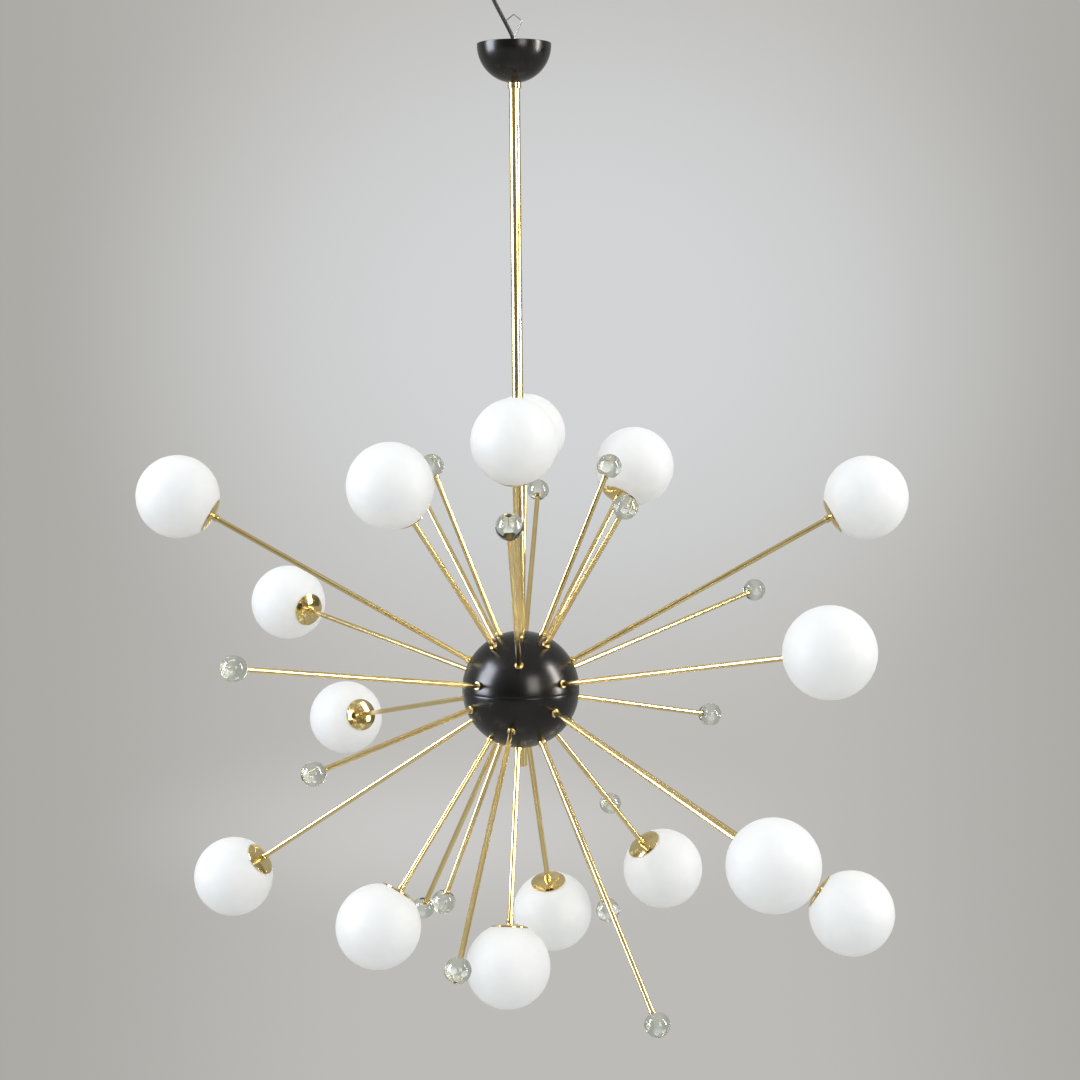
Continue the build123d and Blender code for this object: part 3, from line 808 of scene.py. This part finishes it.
@dataclass(frozen=True)
class Pattern:
    """The rings of both domes, given as the solids are."""

    turn: dict[Dome, float] = field(default_factory=lambda: {Dome.UPPER: -1.0, Dome.LOWER: -13.0})
    rings: dict[Dome, tuple[Ring, ...]] = field(
        default_factory=lambda: {
            Dome.UPPER: (
                Ring(10, 45, True, LONG_ROD, LONG_ROD, ((1, 1), (-1, 1), (-1, -2), (1, 0))),
                Ring(30, 0, False, LONG_ROD, LONG_ROD, ((0, 2), (-1.5, -1), (-2.5, -0.5), (0, 0))),
                Ring(52, 45, False, SHORT_ROD, SHORT_ROD, ((0, 0.5), (0.5, 0), (0, 0), (1.5, -0.5))),
                Ring(68, 0, True, SHORT_ROD, SHORT_ROD, ((-0.5, 0), (0, 0), (-2.5, -1), (0, 1))),
            ),
            Dome.LOWER: (
                Ring(-14, 45, True, LONG_ROD, SHORT_ROD, ((3.5, -1.5), (0, 2), (0.5, 1.5), (1, 0))),
                Ring(-33, 0, False, LONG_ROD, LONG_ROD, ((2.5, -0.5), (-1, 0.5), (-5.5, 2.5), (-6.5, -0.5))),
                Ring(-52, 45, False, SHORT_ROD, LONG_ROD, ((4, -1.5), (1, 2), (-2.5, 1.5), (-0.5, -1))),
                Ring(-69, 0, True, SHORT_ROD, SHORT_ROD, ((2.5, -4), (6, 0), (-4.5, 0.5), (-5.5, 0))),
            ),
        }
    )

    def arms(self, dome: Dome, globes: bool) -> list[Arm]:
        """The globe arms or the crystal arms of a dome, ring by ring.

        Args:
            dome: Which half of the hub.
            globes: True for the arms that end in globes.

        Returns:
            Eight arms.
        """
        found = []
        for ring in self.rings[dome]:
            for number, (lean_azimuth, lean_elevation) in enumerate(ring.leans):
                if (number % 2 == 0) == (ring.globe_first == globes):
                    azimuth = ring.first_azimuth + self.turn[dome] + number * 90 + lean_azimuth
                    rod = ring.globe_rod if globes else ring.crystal_rod
                    found.append(Arm(azimuth, ring.elevation + lean_elevation, rod))
        return found


# ------------------------------------------------------------------- sub-assemblies


@dataclass
class Suspension:
    """The wire loop, its sleeves, the supply cable and the ceiling terminal."""

    wire_mm: float = 1.5
    wire_sides: int = 16
    cable_mm: float = 5.5
    cable_length: float = 0.122
    loop_points: tuple[tuple[float, float, float], ...] = (
        (0.85, 2.6, -65.1),
        (0.85, 2.6, -31.0),
        (11.3, 0.76, -8.5),
        (0.0, 0.0, 0.75),
        (-11.3, 0.76, -8.5),
        (-0.85, 2.6, -31.0),
        (-0.85, 2.6, -65.1),
    )
    loop_bends: tuple[float, ...] = (2.0, 2.0, 2.8, 2.0, 2.0)
    cable_points: tuple[tuple[float, float, float], ...] = (
        (0.0, -3.4, -50.5),
        (0.0, -3.4, -39.0),
        (-3.5, -5.0, -27.0),
        (-13.5, -8.0, -8.5),
        (-27.0, -9.5, 17.0),
        (-38.0, -9.0, 41.5),
        (-43.5, -8.5, 62.0),
    )

    def rounded_path(self, steps: int = 6) -> list[Vector]:
        """The loop's line with its corners bent round.

        Args:
            steps: How many pieces each bend gets.

        Returns:
            Points along the wire's middle, in metres.
        """
        points = [Vector(p) for p in self.loop_points]
        line = [points[0]]
        for i in range(1, len(points) - 1):
            here, radius = points[i], self.loop_bends[i - 1]
            back, ahead = points[i - 1] - here, points[i + 1] - here
            half = back.angle(ahead) / 2
            run = min(radius / math.tan(half), 0.45 * min(back.length, ahead.length))
            start, end = here + back.normalized() * run, here + ahead.normalized() * run
            for k in range(steps + 1):
                t = k / steps
                line.append(start * (1 - t) ** 2 + here * 2 * t * (1 - t) + end * t**2)
        line.append(points[-1])
        return [p * MM for p in line]

    def loop(self) -> None:
        """Sweeps the wire along its line."""
        mesh = bmesh.new()
        layer = mesh.verts.layers.float_vector.new("local")
        line = self.rounded_path()
        rings, run = [], 0.0
        side, radius, sides = Vector((0, 1, 0)), self.wire_mm / 2 * MM, self.wire_sides
        for i, point in enumerate(line):
            ahead = line[min(i + 1, len(line) - 1)] - line[max(i - 1, 0)]
            way = ahead.normalized()
            across = way.cross(side).normalized()
            up = across.cross(way)
            run += (point - line[i - 1]).length if i else 0.0
            ring = []
            for k in range(sides):
                a = 2 * math.pi * k / sides
                vert = mesh.verts.new(point + (across * math.cos(a) + up * math.sin(a)) * radius)
                vert[layer] = Vector((math.cos(a) * radius, math.sin(a) * radius, run))
                ring.append(vert)
            rings.append(ring)
        for a, b in zip(rings, rings[1:]):
            for k in range(sides):
                mesh.faces.new((a[k], a[(k + 1) % sides], b[(k + 1) % sides], b[k]))
        mesh.faces.new(rings[0])
        mesh.faces.new(rings[-1])
        seat(finish_mesh("wire_loop", mesh), "frame", WIRE, ["hanging_loop"])

    def cable(self) -> None:
        """Lays the supply cable along its route."""
        data = bpy.data.curves.new("supply_cord", "CURVE")
        data.dimensions = "3D"
        spline = data.splines.new("NURBS")
        spline.points.add(len(self.cable_points) - 1)
        for spot, point in zip(spline.points, self.cable_points):
            spot.co = (*(c * MM for c in point), 1.0)
        spline.order_u = 3
        spline.use_endpoint_u = True
        data.resolution_u = 24
        data.bevel_depth = self.cable_mm / 2 * MM
        data.bevel_resolution = 6
        data.use_fill_caps = True
        piece = bpy.data.objects.new("supply_cord", data)
        bpy.context.scene.collection.objects.link(piece)
        seat(piece, "frame", PVC, ["supply_cable"])

    def build(self) -> None:
        """Builds and dresses the whole suspension."""
        self.loop()
        self.cable()
        for node, finish in {
            "ceiling_terminal": PHENOLIC,
            "loop_sleeve": CRIMP,
            "loop_stop_sleeve": CRIMP,
            "stem_top_bush": BRASS_TURNED,
            "stem_lead": PVC,
        }.items():
            keep(node, finish)


def solid(name: str) -> bpy.types.Object:
    """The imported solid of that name."""
    return bpy.data.objects[name]


def keep(name: str, finish: Finish) -> None:
    """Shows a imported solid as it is, in its finish.

    Args:
        name: The node's name.
        finish: Its material.
    """
    piece = solid(name)
    local_from_place(piece)
    dress(piece, finish)
    LOG.info("%s keeps its solid in %s", name, finish.name)


@dataclass
class Canopy:
    """The bowl at the top of the stem, its collar and the collar's grub screw."""

    rim_mm: float = -40.0
    radius: float = 52.5
    wall: float = 1.2
    lip: float = 2.0
    hole: float = 8.3
    collar_radius: float = 9.75
    collar_length: float = 8.4
    grub_radius: float = 1.5
    grub_proud: float = 0.8
    socket_radius: float = 0.75
    socket_depth: float = 1.0
    gap: float = 0.1

    def build(self) -> None:
        """Spins the bowl and turns the collar and the screw."""
        centre = self.rim_mm - self.lip
        inner = self.radius - self.wall
        low = math.degrees(math.acos(self.hole / self.radius))
        low_inner = math.degrees(math.acos(self.hole / inner))
        lip = rounded(
            [
                (self.radius, centre, 0),
                (self.radius, self.rim_mm, 0.5),
                (inner, self.rim_mm, 0.5),
                (inner, centre, 0),
            ],
            closed=False,
            steps=3,
        )
        outside = arc(centre, self.radius, -low, 0, steps=40)[:-1]
        inside = arc(centre, inner, 0, -low_inner, steps=40)[1:]
        bowl = Turning([*outside, *lip, *inside], segments=128)
        cup = turned("canopy_bowl", [(bowl, ON_STEM)])
        seat(cup, "canopy", LACQUER, ["canopy_cup"])

        top = centre - math.sqrt(self.radius**2 - self.hole**2) - self.gap
        ring = rounded(
            [
                (self.hole, top, 0.2),
                (self.collar_radius, top, 0.6),
                (self.collar_radius, top - self.collar_length, 0.8),
                (self.hole, top - self.collar_length, 0.4),
            ]
        )
        collar = turned("stop_collar", [(Turning(ring, segments=64), ON_STEM)])
        seat(collar, "canopy", BRASS_TURNED, ["canopy_collar"])

        depth = self.collar_radius + self.grub_proud - self.hole
        screw = rounded(
            [
                (0.0, 0.0, 0),
                (self.grub_radius, 0.0, 0),
                (self.grub_radius, depth, 0.25),
                (self.socket_radius, depth, 0),
                (self.socket_radius, depth - self.socket_depth, 0),
                (0.0, depth - self.socket_depth, 0),
            ],
            closed=False,
        )
        out = Matrix.Rotation(math.radians(90), 4, "X")
        spot = Matrix.Translation(Vector((0, -self.hole, top - self.collar_length / 2)) * MM)
        piece = turned("collar_screw", [(Turning(screw, segments=24, closed=False), spot @ out)])
        seat(piece, "canopy", ZINC, ["canopy_grub_screw"])


@dataclass
class Stem:
    """The brass tube from the canopy to below the hub."""

    hub_mm: float = -960.0
    top_mm: float = -52.0
    below_hub: float = 28.0
    hub_radius: float = 85.0
    radius: float = 8.0
    bore: float = 6.5
    plug_play: float = 0.15
    plug_inset: float = 0.2
    plug_end: float = 6.0

    def build(self) -> None:
        """Turns the tube and the plug that closes its lower end."""
        low = self.hub_mm - self.hub_radius - self.below_hub
        tube = rounded(
            [
                (self.bore, low, 0.3),
                (self.radius, low, 0.5),
                (self.radius, self.top_mm, 0.4),
                (self.bore, self.top_mm, 0.2),
            ]
        )
        piece = turned("stem", [(Turning(tube, segments=64), ON_STEM)])
        seat(piece, "frame", BRASS_TUBE, ["stem_tube"])
        r, face, end = self.bore - self.plug_play, low + self.plug_inset, low + self.plug_end
        plug = rounded([(0, face, 0), (r, face, 0.6), (r, end, 0), (0, end, 0)], closed=False)
        piece = turned("stem_plug", [(Turning(plug, segments=48, closed=False), ON_STEM)])
        seat(piece, "frame", BRASS_TURNED, ["stem_end_plug"])


@dataclass
class Hub:
    """The two lacquered domes and what holds them to the stem."""

    centre_mm: float = -960.0
    radius: float = 85.0
    wall: float = 1.5
    hole: float = 8.15
    bevel: float = 0.6
    bevel_share: float = 1.6  # how far up the dome the rolled edge starts, in bevels

    def dome(self, side: Dome) -> None:
        """Spins one dome, with the rolled edge that makes the seam at the equator.

        Args:
            side: Which dome.
        """
        inner = self.radius - self.wall
        pole = math.degrees(math.acos(self.hole / self.radius))
        pole_inner = math.degrees(math.acos(self.hole / inner))
        first = math.degrees(math.asin(self.bevel / self.radius)) * self.bevel_share
        start = math.radians(first)
        # The rolled edge leaves a fine groove between the two domes.
        edge = rounded(
            [
                (self.radius * math.cos(start), self.radius * math.sin(start), 0),
                (self.radius - 0.15, 0.25, 0.2),
                (self.radius - 0.9, 0.0, 0.2),
                (inner, 0.0, 0),
            ],
            closed=False,
            steps=3,
        )
        outside = arc(0, self.radius, pole, first, steps=48)[:-1]
        inside = arc(0, inner, 0, pole_inner, steps=32)[1:]
        flip = 1 if side is Dome.UPPER else -1
        section = [(r, self.centre_mm + flip * z) for r, z in [*outside, *edge, *inside]]
        piece = turned(f"{side.value}_dome", [(Turning(section, segments=144), ON_STEM)])
        seat(piece, "frame", LACQUER, [f"hub_{side.value}_dome"])

    def build(self) -> None:
        """Builds both domes and dresses the hidden fittings."""
        for side in Dome:
            self.dome(side)
        keep("dome_bushes", ZINC)
        keep("terminal_block", PHENOLIC)


@dataclass
class ArmRows:
    """The rods, ferrules and end fittings of one dome."""

    dome: Dome
    pattern: Pattern
    hub_mm: float = -960.0
    hub_radius: float = 85.0
    tail: float = 9.0
    rod_radius: float = 4.0
    rod_bore: float = 2.75
    rod_hole: float = 4.15
    rod_play: float = 0.1
    hub_ferrule_radius: float = 6.0
    hub_ferrule_length: float = 4.5
    cap_ferrule_radius: float = 5.4
    cap_ferrule_length: float = 6.0
    cap_radius: float = 26.0
    cap_depth: float = 5.8
    cap_wall: float = 1.2
    cap_sag: float = 1.0
    cap_overhang: float = 0.5
    globe_radius: float = 60.0
    globe_wall: float = 2.0
    neck_bore: float = 17.0
    neck_wall: float = 2.5
    neck_length: float = 10.0
    carrier_seat: float = 3.4
    carrier_length: float = 9.0
    nut_length: float = 3.0
    holder_radius: float = 9.0
    holder_length: float = 20.0
    bulb_radius: float = 8.0
    bulb_length: float = 40.0
    crystal_radius: float = 17.5
    crystal_flat: float = 10.0
    crystal_bevel: float = 0.8
    collar_radius: float = 5.0
    collar_length: float = 5.0
    collar_floor: float = 1.5
    thread_rise: float = 0.35
    thread_edge: float = 0.8
    gap: float = 0.3

    def __post_init__(self) -> None:
        """Sorts the arms and works out where their fittings sit."""
        self.globe_arms = self.pattern.arms(self.dome, True)
        self.crystal_arms = self.pattern.arms(self.dome, False)
        self.ferrule_end = self.hub_radius + self.hub_ferrule_length
        self.nut_start = self.carrier_seat + self.carrier_length
        self.rod_end = self.nut_start + self.nut_length
        self.globe_cut = math.sqrt(self.globe_radius**2 - (self.cap_radius - self.cap_overhang) ** 2)
        self.crystal_cut = math.sqrt(self.crystal_radius**2 - self.crystal_flat**2)

    def at(self, arm: Arm, distance: float) -> Matrix:
        """The place along an arm at a distance from the hub's centre, both in millimetres."""
        return arm.place(self.hub_mm, distance)

    def fitting(self, arm: Arm) -> float:
        """Distance from the hub's centre to the end fitting."""
        return self.ferrule_end + arm.rod

    def cap(self, arm: Arm) -> float:
        """Distance from the hub's centre to the back of the globe's cap."""
        return self.fitting(arm) + self.cap_ferrule_length

    def named(self, what: str) -> str:
        """A piece's name with its dome before it."""
        return f"{self.dome.value}_{what}"

    def rods(self) -> None:
        """The brass tubes under the globes and the solid rods under the crystals."""
        tubes, bars = [], []
        r, bore = self.rod_radius, self.rod_bore
        collar_depth = self.collar_length - self.collar_floor - self.rod_play
        for arm in self.globe_arms:
            end = self.hub_ferrule_length + arm.rod + self.cap_ferrule_length + self.rod_end
            section = [(bore, -self.tail), (r, -self.tail), (r, end), (bore, end)]
            tubes.append((Turning(section, segments=32), self.at(arm, self.hub_radius)))
        for arm in self.crystal_arms:
            end = self.hub_ferrule_length + arm.rod + collar_depth
            section = [(0, -self.tail), (r, -self.tail), (r, end), (0, end)]
            bars.append((Turning(section, segments=32, closed=False), self.at(arm, self.hub_radius)))
        piece = turned(self.named("globe_tubes"), tubes)
        seat(piece, "frame", BRASS_TUBE, [self.named("globe_arms")])
        piece = turned(self.named("crystal_rods"), bars)
        seat(piece, "frame", BRASS_TUBE, [self.named("crystal_arms")])

    def ferrules(self) -> None:
        """The small brass rings at the hub, at the caps and on the crystals."""
        hole, r, length = self.rod_hole, self.hub_ferrule_radius, self.hub_ferrule_length
        section = rounded([(hole, 0, 0), (r, 0, 0.2), (r, length, 1.2), (hole, length, 0.3)], steps=5)
        ring = Turning(section, segments=32)
        places = [(ring, self.at(arm, self.hub_radius)) for arm in self.globe_arms + self.crystal_arms]
        piece = turned(self.named("hub_rings"), places)
        seat(piece, "frame", BRASS_TURNED, [self.named("hub_ferrules")])

        r, length = self.cap_ferrule_radius, self.cap_ferrule_length
        section = rounded([(hole, 0, 0.3), (r, 0, 1.2), (r, length, 0.2), (hole, length, 0)], steps=5)
        ring = Turning(section, segments=32)
        places = [(ring, self.at(arm, self.fitting(arm))) for arm in self.globe_arms]
        piece = turned(self.named("cap_rings"), places)
        seat(piece, "frame", BRASS_TURNED, [self.named("cap_ferrules")])

        r, length = self.collar_radius, self.collar_length
        floor = length - self.collar_floor
        outside = [(hole, 0, 0.2), (r, 0, 0.7), (r, length, 0.3), (0, length, 0)]
        cup = Turning(rounded([*outside, (0, floor, 0), (hole, floor, 0)]), segments=32)
        places = [(cup, self.at(arm, self.fitting(arm))) for arm in self.crystal_arms]
        piece = turned(self.named("crystal_cups"), places)
        seat(piece, "frame", BRASS_TURNED, [self.named("crystal_collars")])

    def caps(self) -> None:
        """The spun brass saucers behind the globes."""
        r, depth, wall = self.cap_radius, self.cap_depth, self.cap_wall
        inner = self.cap_ferrule_radius
        rise = depth - wall
        back, front = [], []
        steps = 12
        for k in range(steps + 1):
            t = k / steps
            bulge = 4 * self.cap_sag * t * (1 - t)
            back.append((inner + (r - inner) * t, rise * t - bulge))
            front.append((inner + (r - inner) * t, rise * t - bulge + wall))
        rim = [(r, rise + wall * s) for s in (0.25, 0.5, 0.75)]
        section = [(self.rod_hole, 0.0), *back, *rim, *reversed(front), (self.rod_hole, wall)]
        saucer = Turning(section, segments=72)
        places = [(saucer, self.at(arm, self.cap(arm))) for arm in self.globe_arms]
        piece = turned(self.named("saucers"), places)
        seat(piece, "frame", BRASS_TURNED, [self.named("globe_caps")])

    def globes(self) -> None:
        """The blown globes, each with its ground cut and its threaded neck."""
        r, cut = self.globe_radius, self.globe_cut
        inner = r - self.globe_wall
        low = -math.degrees(math.asin(cut / r))
        low_inner = -math.degrees(math.asin((cut - self.globe_wall) / inner))
        outside = arc(cut, r, low, 90, steps=64)
        inside = arc(cut, inner, 90, low_inner, steps=48)
        bore, length = self.neck_bore, self.neck_length
        neck = [(bore + self.neck_wall, self.globe_wall), (bore + self.neck_wall, length), (bore, length)]
        threads, turns = [], 8
        top, run = length - self.thread_edge, length - 2 * self.thread_edge
        for k in range(turns + 1):
            threads.append((bore + (self.thread_rise if k % 2 else 0.0), top - k * run / turns))
        section = [*outside, *inside, *neck, *threads, (bore, 0)]
        globe = Turning(section, segments=96)
        mouth = self.cap_depth + self.gap
        for number, arm in enumerate(self.globe_arms, start=1):
            node = self.named(f"globe_{number}")
            place = self.at(arm, self.cap(arm) + mouth)
            piece = turned(self.named(f"opal_{number}"), [(globe, place)], sharp_deg=40)
            seat(piece, f"{node}_body", OPAL, [node])

    def crystals(self) -> None:
        """The clear balls, each with a polished flat where its cup is bonded on."""
        r, cut = self.crystal_radius, self.crystal_cut
        low = -math.degrees(math.asin(cut / r))
        outside = arc(cut, r, low + math.degrees(self.crystal_bevel / r), 90, steps=72)
        section = [(0.0, 0.0), (self.crystal_flat - self.crystal_bevel, 0.0), *outside]
        ball = Turning(section, segments=96, closed=False)
        arms = self.crystal_arms
        places = [(ball, self.at(arm, self.fitting(arm) + self.collar_length)) for arm in arms]
        piece = turned(self.named("crystal_balls"), places, sharp_deg=20)
        seat(piece, "frame", CRYSTAL, [self.named("crystals")])

    def lamps(self) -> None:
        """The G9 lampholders and their frosted bulbs."""
        start = self.rod_end + self.gap
        r, length = self.holder_radius, self.holder_length
        corners = [
            (0, 0, 0),
            (r - 1.5, 0, 0.6),
            (r - 1.5, 3, 0.3),
            (r, 4, 0.5),
            (r, length, 1.0),
            (4.5, length, 0.4),
            (4.5, length - 0.4, 0),
            (0, length - 0.4, 0),
        ]
        holder = Turning(rounded(corners, closed=False), segments=48, closed=False)
        places = [(holder, self.at(arm, self.cap(arm) + start)) for arm in self.globe_arms]
        piece = turned(self.named("g9_holders"), places)
        seat(piece, "frame", STEATITE, [self.named("lampholders")])

        start += self.holder_length
        r, length = self.bulb_radius, self.bulb_length
        corners = [
            (0, 0, 0),
            (r - 0.6, 0, 0.8),
            (r - 0.6, 9, 0.5),
            (r, 10, 0.6),
            (r, length - 5, 3.0),
            (4.6, length, 2.5),
            (0, length, 0),
        ]
        glass = Turning(rounded(corners, closed=False, steps=6), segments=40, closed=False)
        places = [(glass, self.at(arm, self.cap(arm) + start)) for arm in self.globe_arms]
        piece = turned(self.named("g9_bulbs"), places)
        seat(piece, "frame", QUARTZ, [self.named("bulbs")])

    def build(self) -> None:
        """Builds every row of this dome and dresses what stays hidden."""
        self.rods()
        self.ferrules()
        self.caps()
        self.globes()
        self.crystals()
        self.lamps()
        for what, finish in {
            "arm_leads": SILICONE,
            "arm_nuts": ZINC,
            "carrier_nuts": ZINC,
            "shade_carriers": ZINC,
        }.items():
            keep(self.named(what), finish)


# ---------------------------------------------------------------------- the studio


def area_lamp(name: str, size: tuple[float, float], power: float, colour: str) -> bpy.types.Object:
    """Adds one rectangular lamp, still without a place.

    Args:
        name: The lamp's name.
        size: Its width and height, in metres.
        power: Its power in watts.
        colour: Its colour.

    Returns:
        The linked lamp.
    """
    data = bpy.data.lights.new(name, "AREA")
    data.shape = "RECTANGLE"
    data.size, data.size_y = size
    data.energy = power
    data.color = srgb(colour)[:3]
    lamp = bpy.data.objects.new(name, data)
    bpy.context.scene.collection.objects.link(lamp)
    lamp.rotation_mode = "QUATERNION"
    return lamp


@dataclass(frozen=True)
class Softbox:
    """A lamp that looks at a point and lights matt surfaces. Metal shows the windows instead."""

    name: str
    place: tuple[float, float, float]
    size: tuple[float, float]
    power: float
    colour: str
    aim: tuple[float, float, float] = (0.0, 0.0, -0.95)

    def build(self) -> None:
        """Hangs the softbox."""
        lamp = area_lamp(self.name, self.size, self.power, self.colour)
        way = Vector(self.aim) - Vector(self.place)
        lamp.location = self.place
        lamp.rotation_quaternion = way.to_track_quat("-Z", "Y")
        lamp.visible_glossy = False


@dataclass(frozen=True)
class Window:
    """A bright pane of the room that only metal and glass show.

    Its azimuth, elevation and half sizes are in degrees, as seen from the chandelier.
    """

    name: str
    azimuth: float
    elevation: float
    half_width: float
    half_height: float
    brightness: float
    colour: str
    aim: tuple[float, float, float] = (0.0, 0.0, -0.95)
    away: float = 6.0

    def build(self) -> None:
        """Hangs the pane as an area lamp, hidden from matt surfaces and from the camera."""
        around, up = math.radians(self.azimuth), math.radians(self.elevation)
        way = Vector((math.sin(around) * math.cos(up), -math.cos(around) * math.cos(up), math.sin(up)))
        width = 2 * self.away * math.tan(math.radians(self.half_width))
        height = 2 * self.away * math.tan(math.radians(self.half_height))
        power = self.brightness * math.pi * width * height
        lamp = area_lamp(self.name, (width, height), power, self.colour)
        lamp.location = Vector(self.aim) + way * self.away
        lamp.rotation_quaternion = way.to_track_quat("Z", "Y")
        lamp.visible_camera = False
        lamp.visible_diffuse = False


@dataclass(frozen=True)
class Room:
    """The studio round the paper: plain to look at, and darker where metal and glass show it."""

    light: str = "#F3F5F6"
    level: float = 1.2
    plain: str = "#D3D2CF"
    shade: str = "#D9D6D2"
    floor_level: float = 0.16
    ceiling_level: float = 0.7

    def build(self) -> None:
        """Makes the world."""
        world = bpy.data.worlds.new("room")
        bpy.context.scene.world = world
        world.use_nodes = True
        tree = world.node_tree
        tree.nodes.clear()
        way = add_node(tree, "TexCoord").outputs["Generated"]
        split = add_node(tree, "SeparateXYZ", sockets={0: way})
        elevation = add_node(tree, "Math", {"operation": "ARCSINE"}, {0: split.outputs["Z"]}).outputs[0]
        sockets = {"Value": elevation, "To Min": self.floor_level, "To Max": self.ceiling_level}
        strength = add_node(tree, "MapRange", sockets=sockets).outputs[0]
        shown = add_node(tree, "Background", sockets={"Color": srgb(self.shade), "Strength": strength})
        even = add_node(tree, "Background", sockets={"Color": srgb(self.light), "Strength": self.level})
        path = add_node(tree, "LightPath")
        rays = either(tree, path.outputs["Is Glossy Ray"], path.outputs["Is Transmission Ray"])
        mix = add_node(tree, "MixShader", sockets={0: rays, 1: even.outputs[0], 2: shown.outputs[0]})
        plain = add_node(tree, "Background", sockets={"Color": srgb(self.plain), "Strength": 1.0})
        sockets = {0: path.outputs["Is Camera Ray"], 1: mix.outputs[0], 2: plain.outputs[0]}
        mix = add_node(tree, "MixShader", sockets=sockets)
        add_node(tree, "OutputWorld", sockets={"Surface": mix.outputs[0]})


@dataclass
class Studio:
    """Camera, lamps, world and the paper sweep."""

    hub_mm: float = -960.0
    focal_px: float = 2124.0
    picture_px: float = 1080.0
    px_at_60_mm: float = 41.36  # how large 60 mm is at the hub
    hub_px: tuple[float, float] = (520.8, 689.0)
    elevation: float = 9.5
    roll: float = 0.55
    sensor_mm: float = 36.0
    floor_z: float = -4.1
    wall_y: float = 6.5
    sweep: float = 1.2
    sweep_steps: int = 16
    wide: float = 14.0
    wall_top: float = 9.0

    def camera(self) -> None:
        """Sets the camera from the hub's place and size in the photograph."""
        focal, middle = self.focal_px, self.picture_px / 2
        depth = focal * 0.060 / self.px_at_60_mm
        hub = Vector(((self.hub_px[0] - middle) / focal, (self.hub_px[1] - middle) / focal, 1.0)) * depth
        pitch = math.radians(self.elevation) - math.atan2(hub.y, hub.z)
        ahead = Vector((0, math.cos(pitch), -math.sin(pitch)))
        right = Vector((1, 0, 0))
        down = -right.cross(ahead)
        roll = math.radians(self.roll)
        c, s = math.cos(roll), math.sin(roll)
        right, down = right * c + down * s, down * c - right * s
        place = Vector((0, 0, self.hub_mm * MM)) - (right * hub.x + down * hub.y + ahead * hub.z)
        data = bpy.data.cameras.new("camera")
        data.sensor_fit = "AUTO"
        data.sensor_width = self.sensor_mm
        data.lens = focal * self.sensor_mm / self.picture_px
        camera = bpy.data.objects.new("camera", data)
        bpy.context.scene.collection.objects.link(camera)
        turn = Matrix((right, -down, -ahead)).transposed().to_4x4()
        camera.matrix_world = Matrix.Translation(place) @ turn
        bpy.context.scene.camera = camera

    def backdrop(self) -> None:
        """Rolls the paper down the wall and out over the floor."""
        mesh = bmesh.new()
        line = [(-self.wide, self.floor_z)]
        for k in range(self.sweep_steps + 1):
            a = math.radians(90 * k / self.sweep_steps)
            y = self.wall_y - self.sweep + self.sweep * math.sin(a)
            line.append((y, self.floor_z + self.sweep * (1 - math.cos(a))))
        line.append((self.wall_y, self.wall_top))
        rows = [[mesh.verts.new((x, y, z)) for x in (-self.wide, self.wide)] for y, z in line]
        for a, b in zip(rows, rows[1:]):
            mesh.faces.new((a[0], a[1], b[1], b[0]))
        piece = finish_mesh("paper_sweep", mesh, sharp_deg=60)
        dress(piece, PAPER)

    def light(self) -> None:
        """Hangs the softboxes and the windows, and builds the room."""
        Softbox("key_left", (-2.46, -0.43, 0.1), (1.7, 2.4), 18.0, "#EEF4FF").build()
        Softbox("key_right", (2.48, -0.35, 0.05), (1.2, 2.2), 16.0, "#FFFAF2").build()
        Window("window_left", -79, 18, 14, 24, 15.0, "#E8EEFA").build()
        Window("window_right", 80, 17, 5.5, 23, 24.0, "#FFF6EE").build()
        Window("window_front", 26.5, 16, 10, 14, 6.5, "#F6EFE6").build()
        Room().build()

    def build(self) -> None:
        """Builds the studio round the chandelier."""
        self.camera()
        self.backdrop()
        self.light()
        bpy.context.scene.view_settings.view_transform = "Standard"


def main() -> None:
    """Builds the chandelier and the studio."""
    logging.basicConfig(level=logging.INFO, format="%(name)s: %(message)s")
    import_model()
    pattern = Pattern()
    parts = [Studio(), Suspension(), Canopy(), Stem(), Hub(), *(ArmRows(dome, pattern) for dome in Dome)]
    for part in parts:
        part.build()
    bpy.context.view_layer.update()


if __name__ == "__main__":
    main()
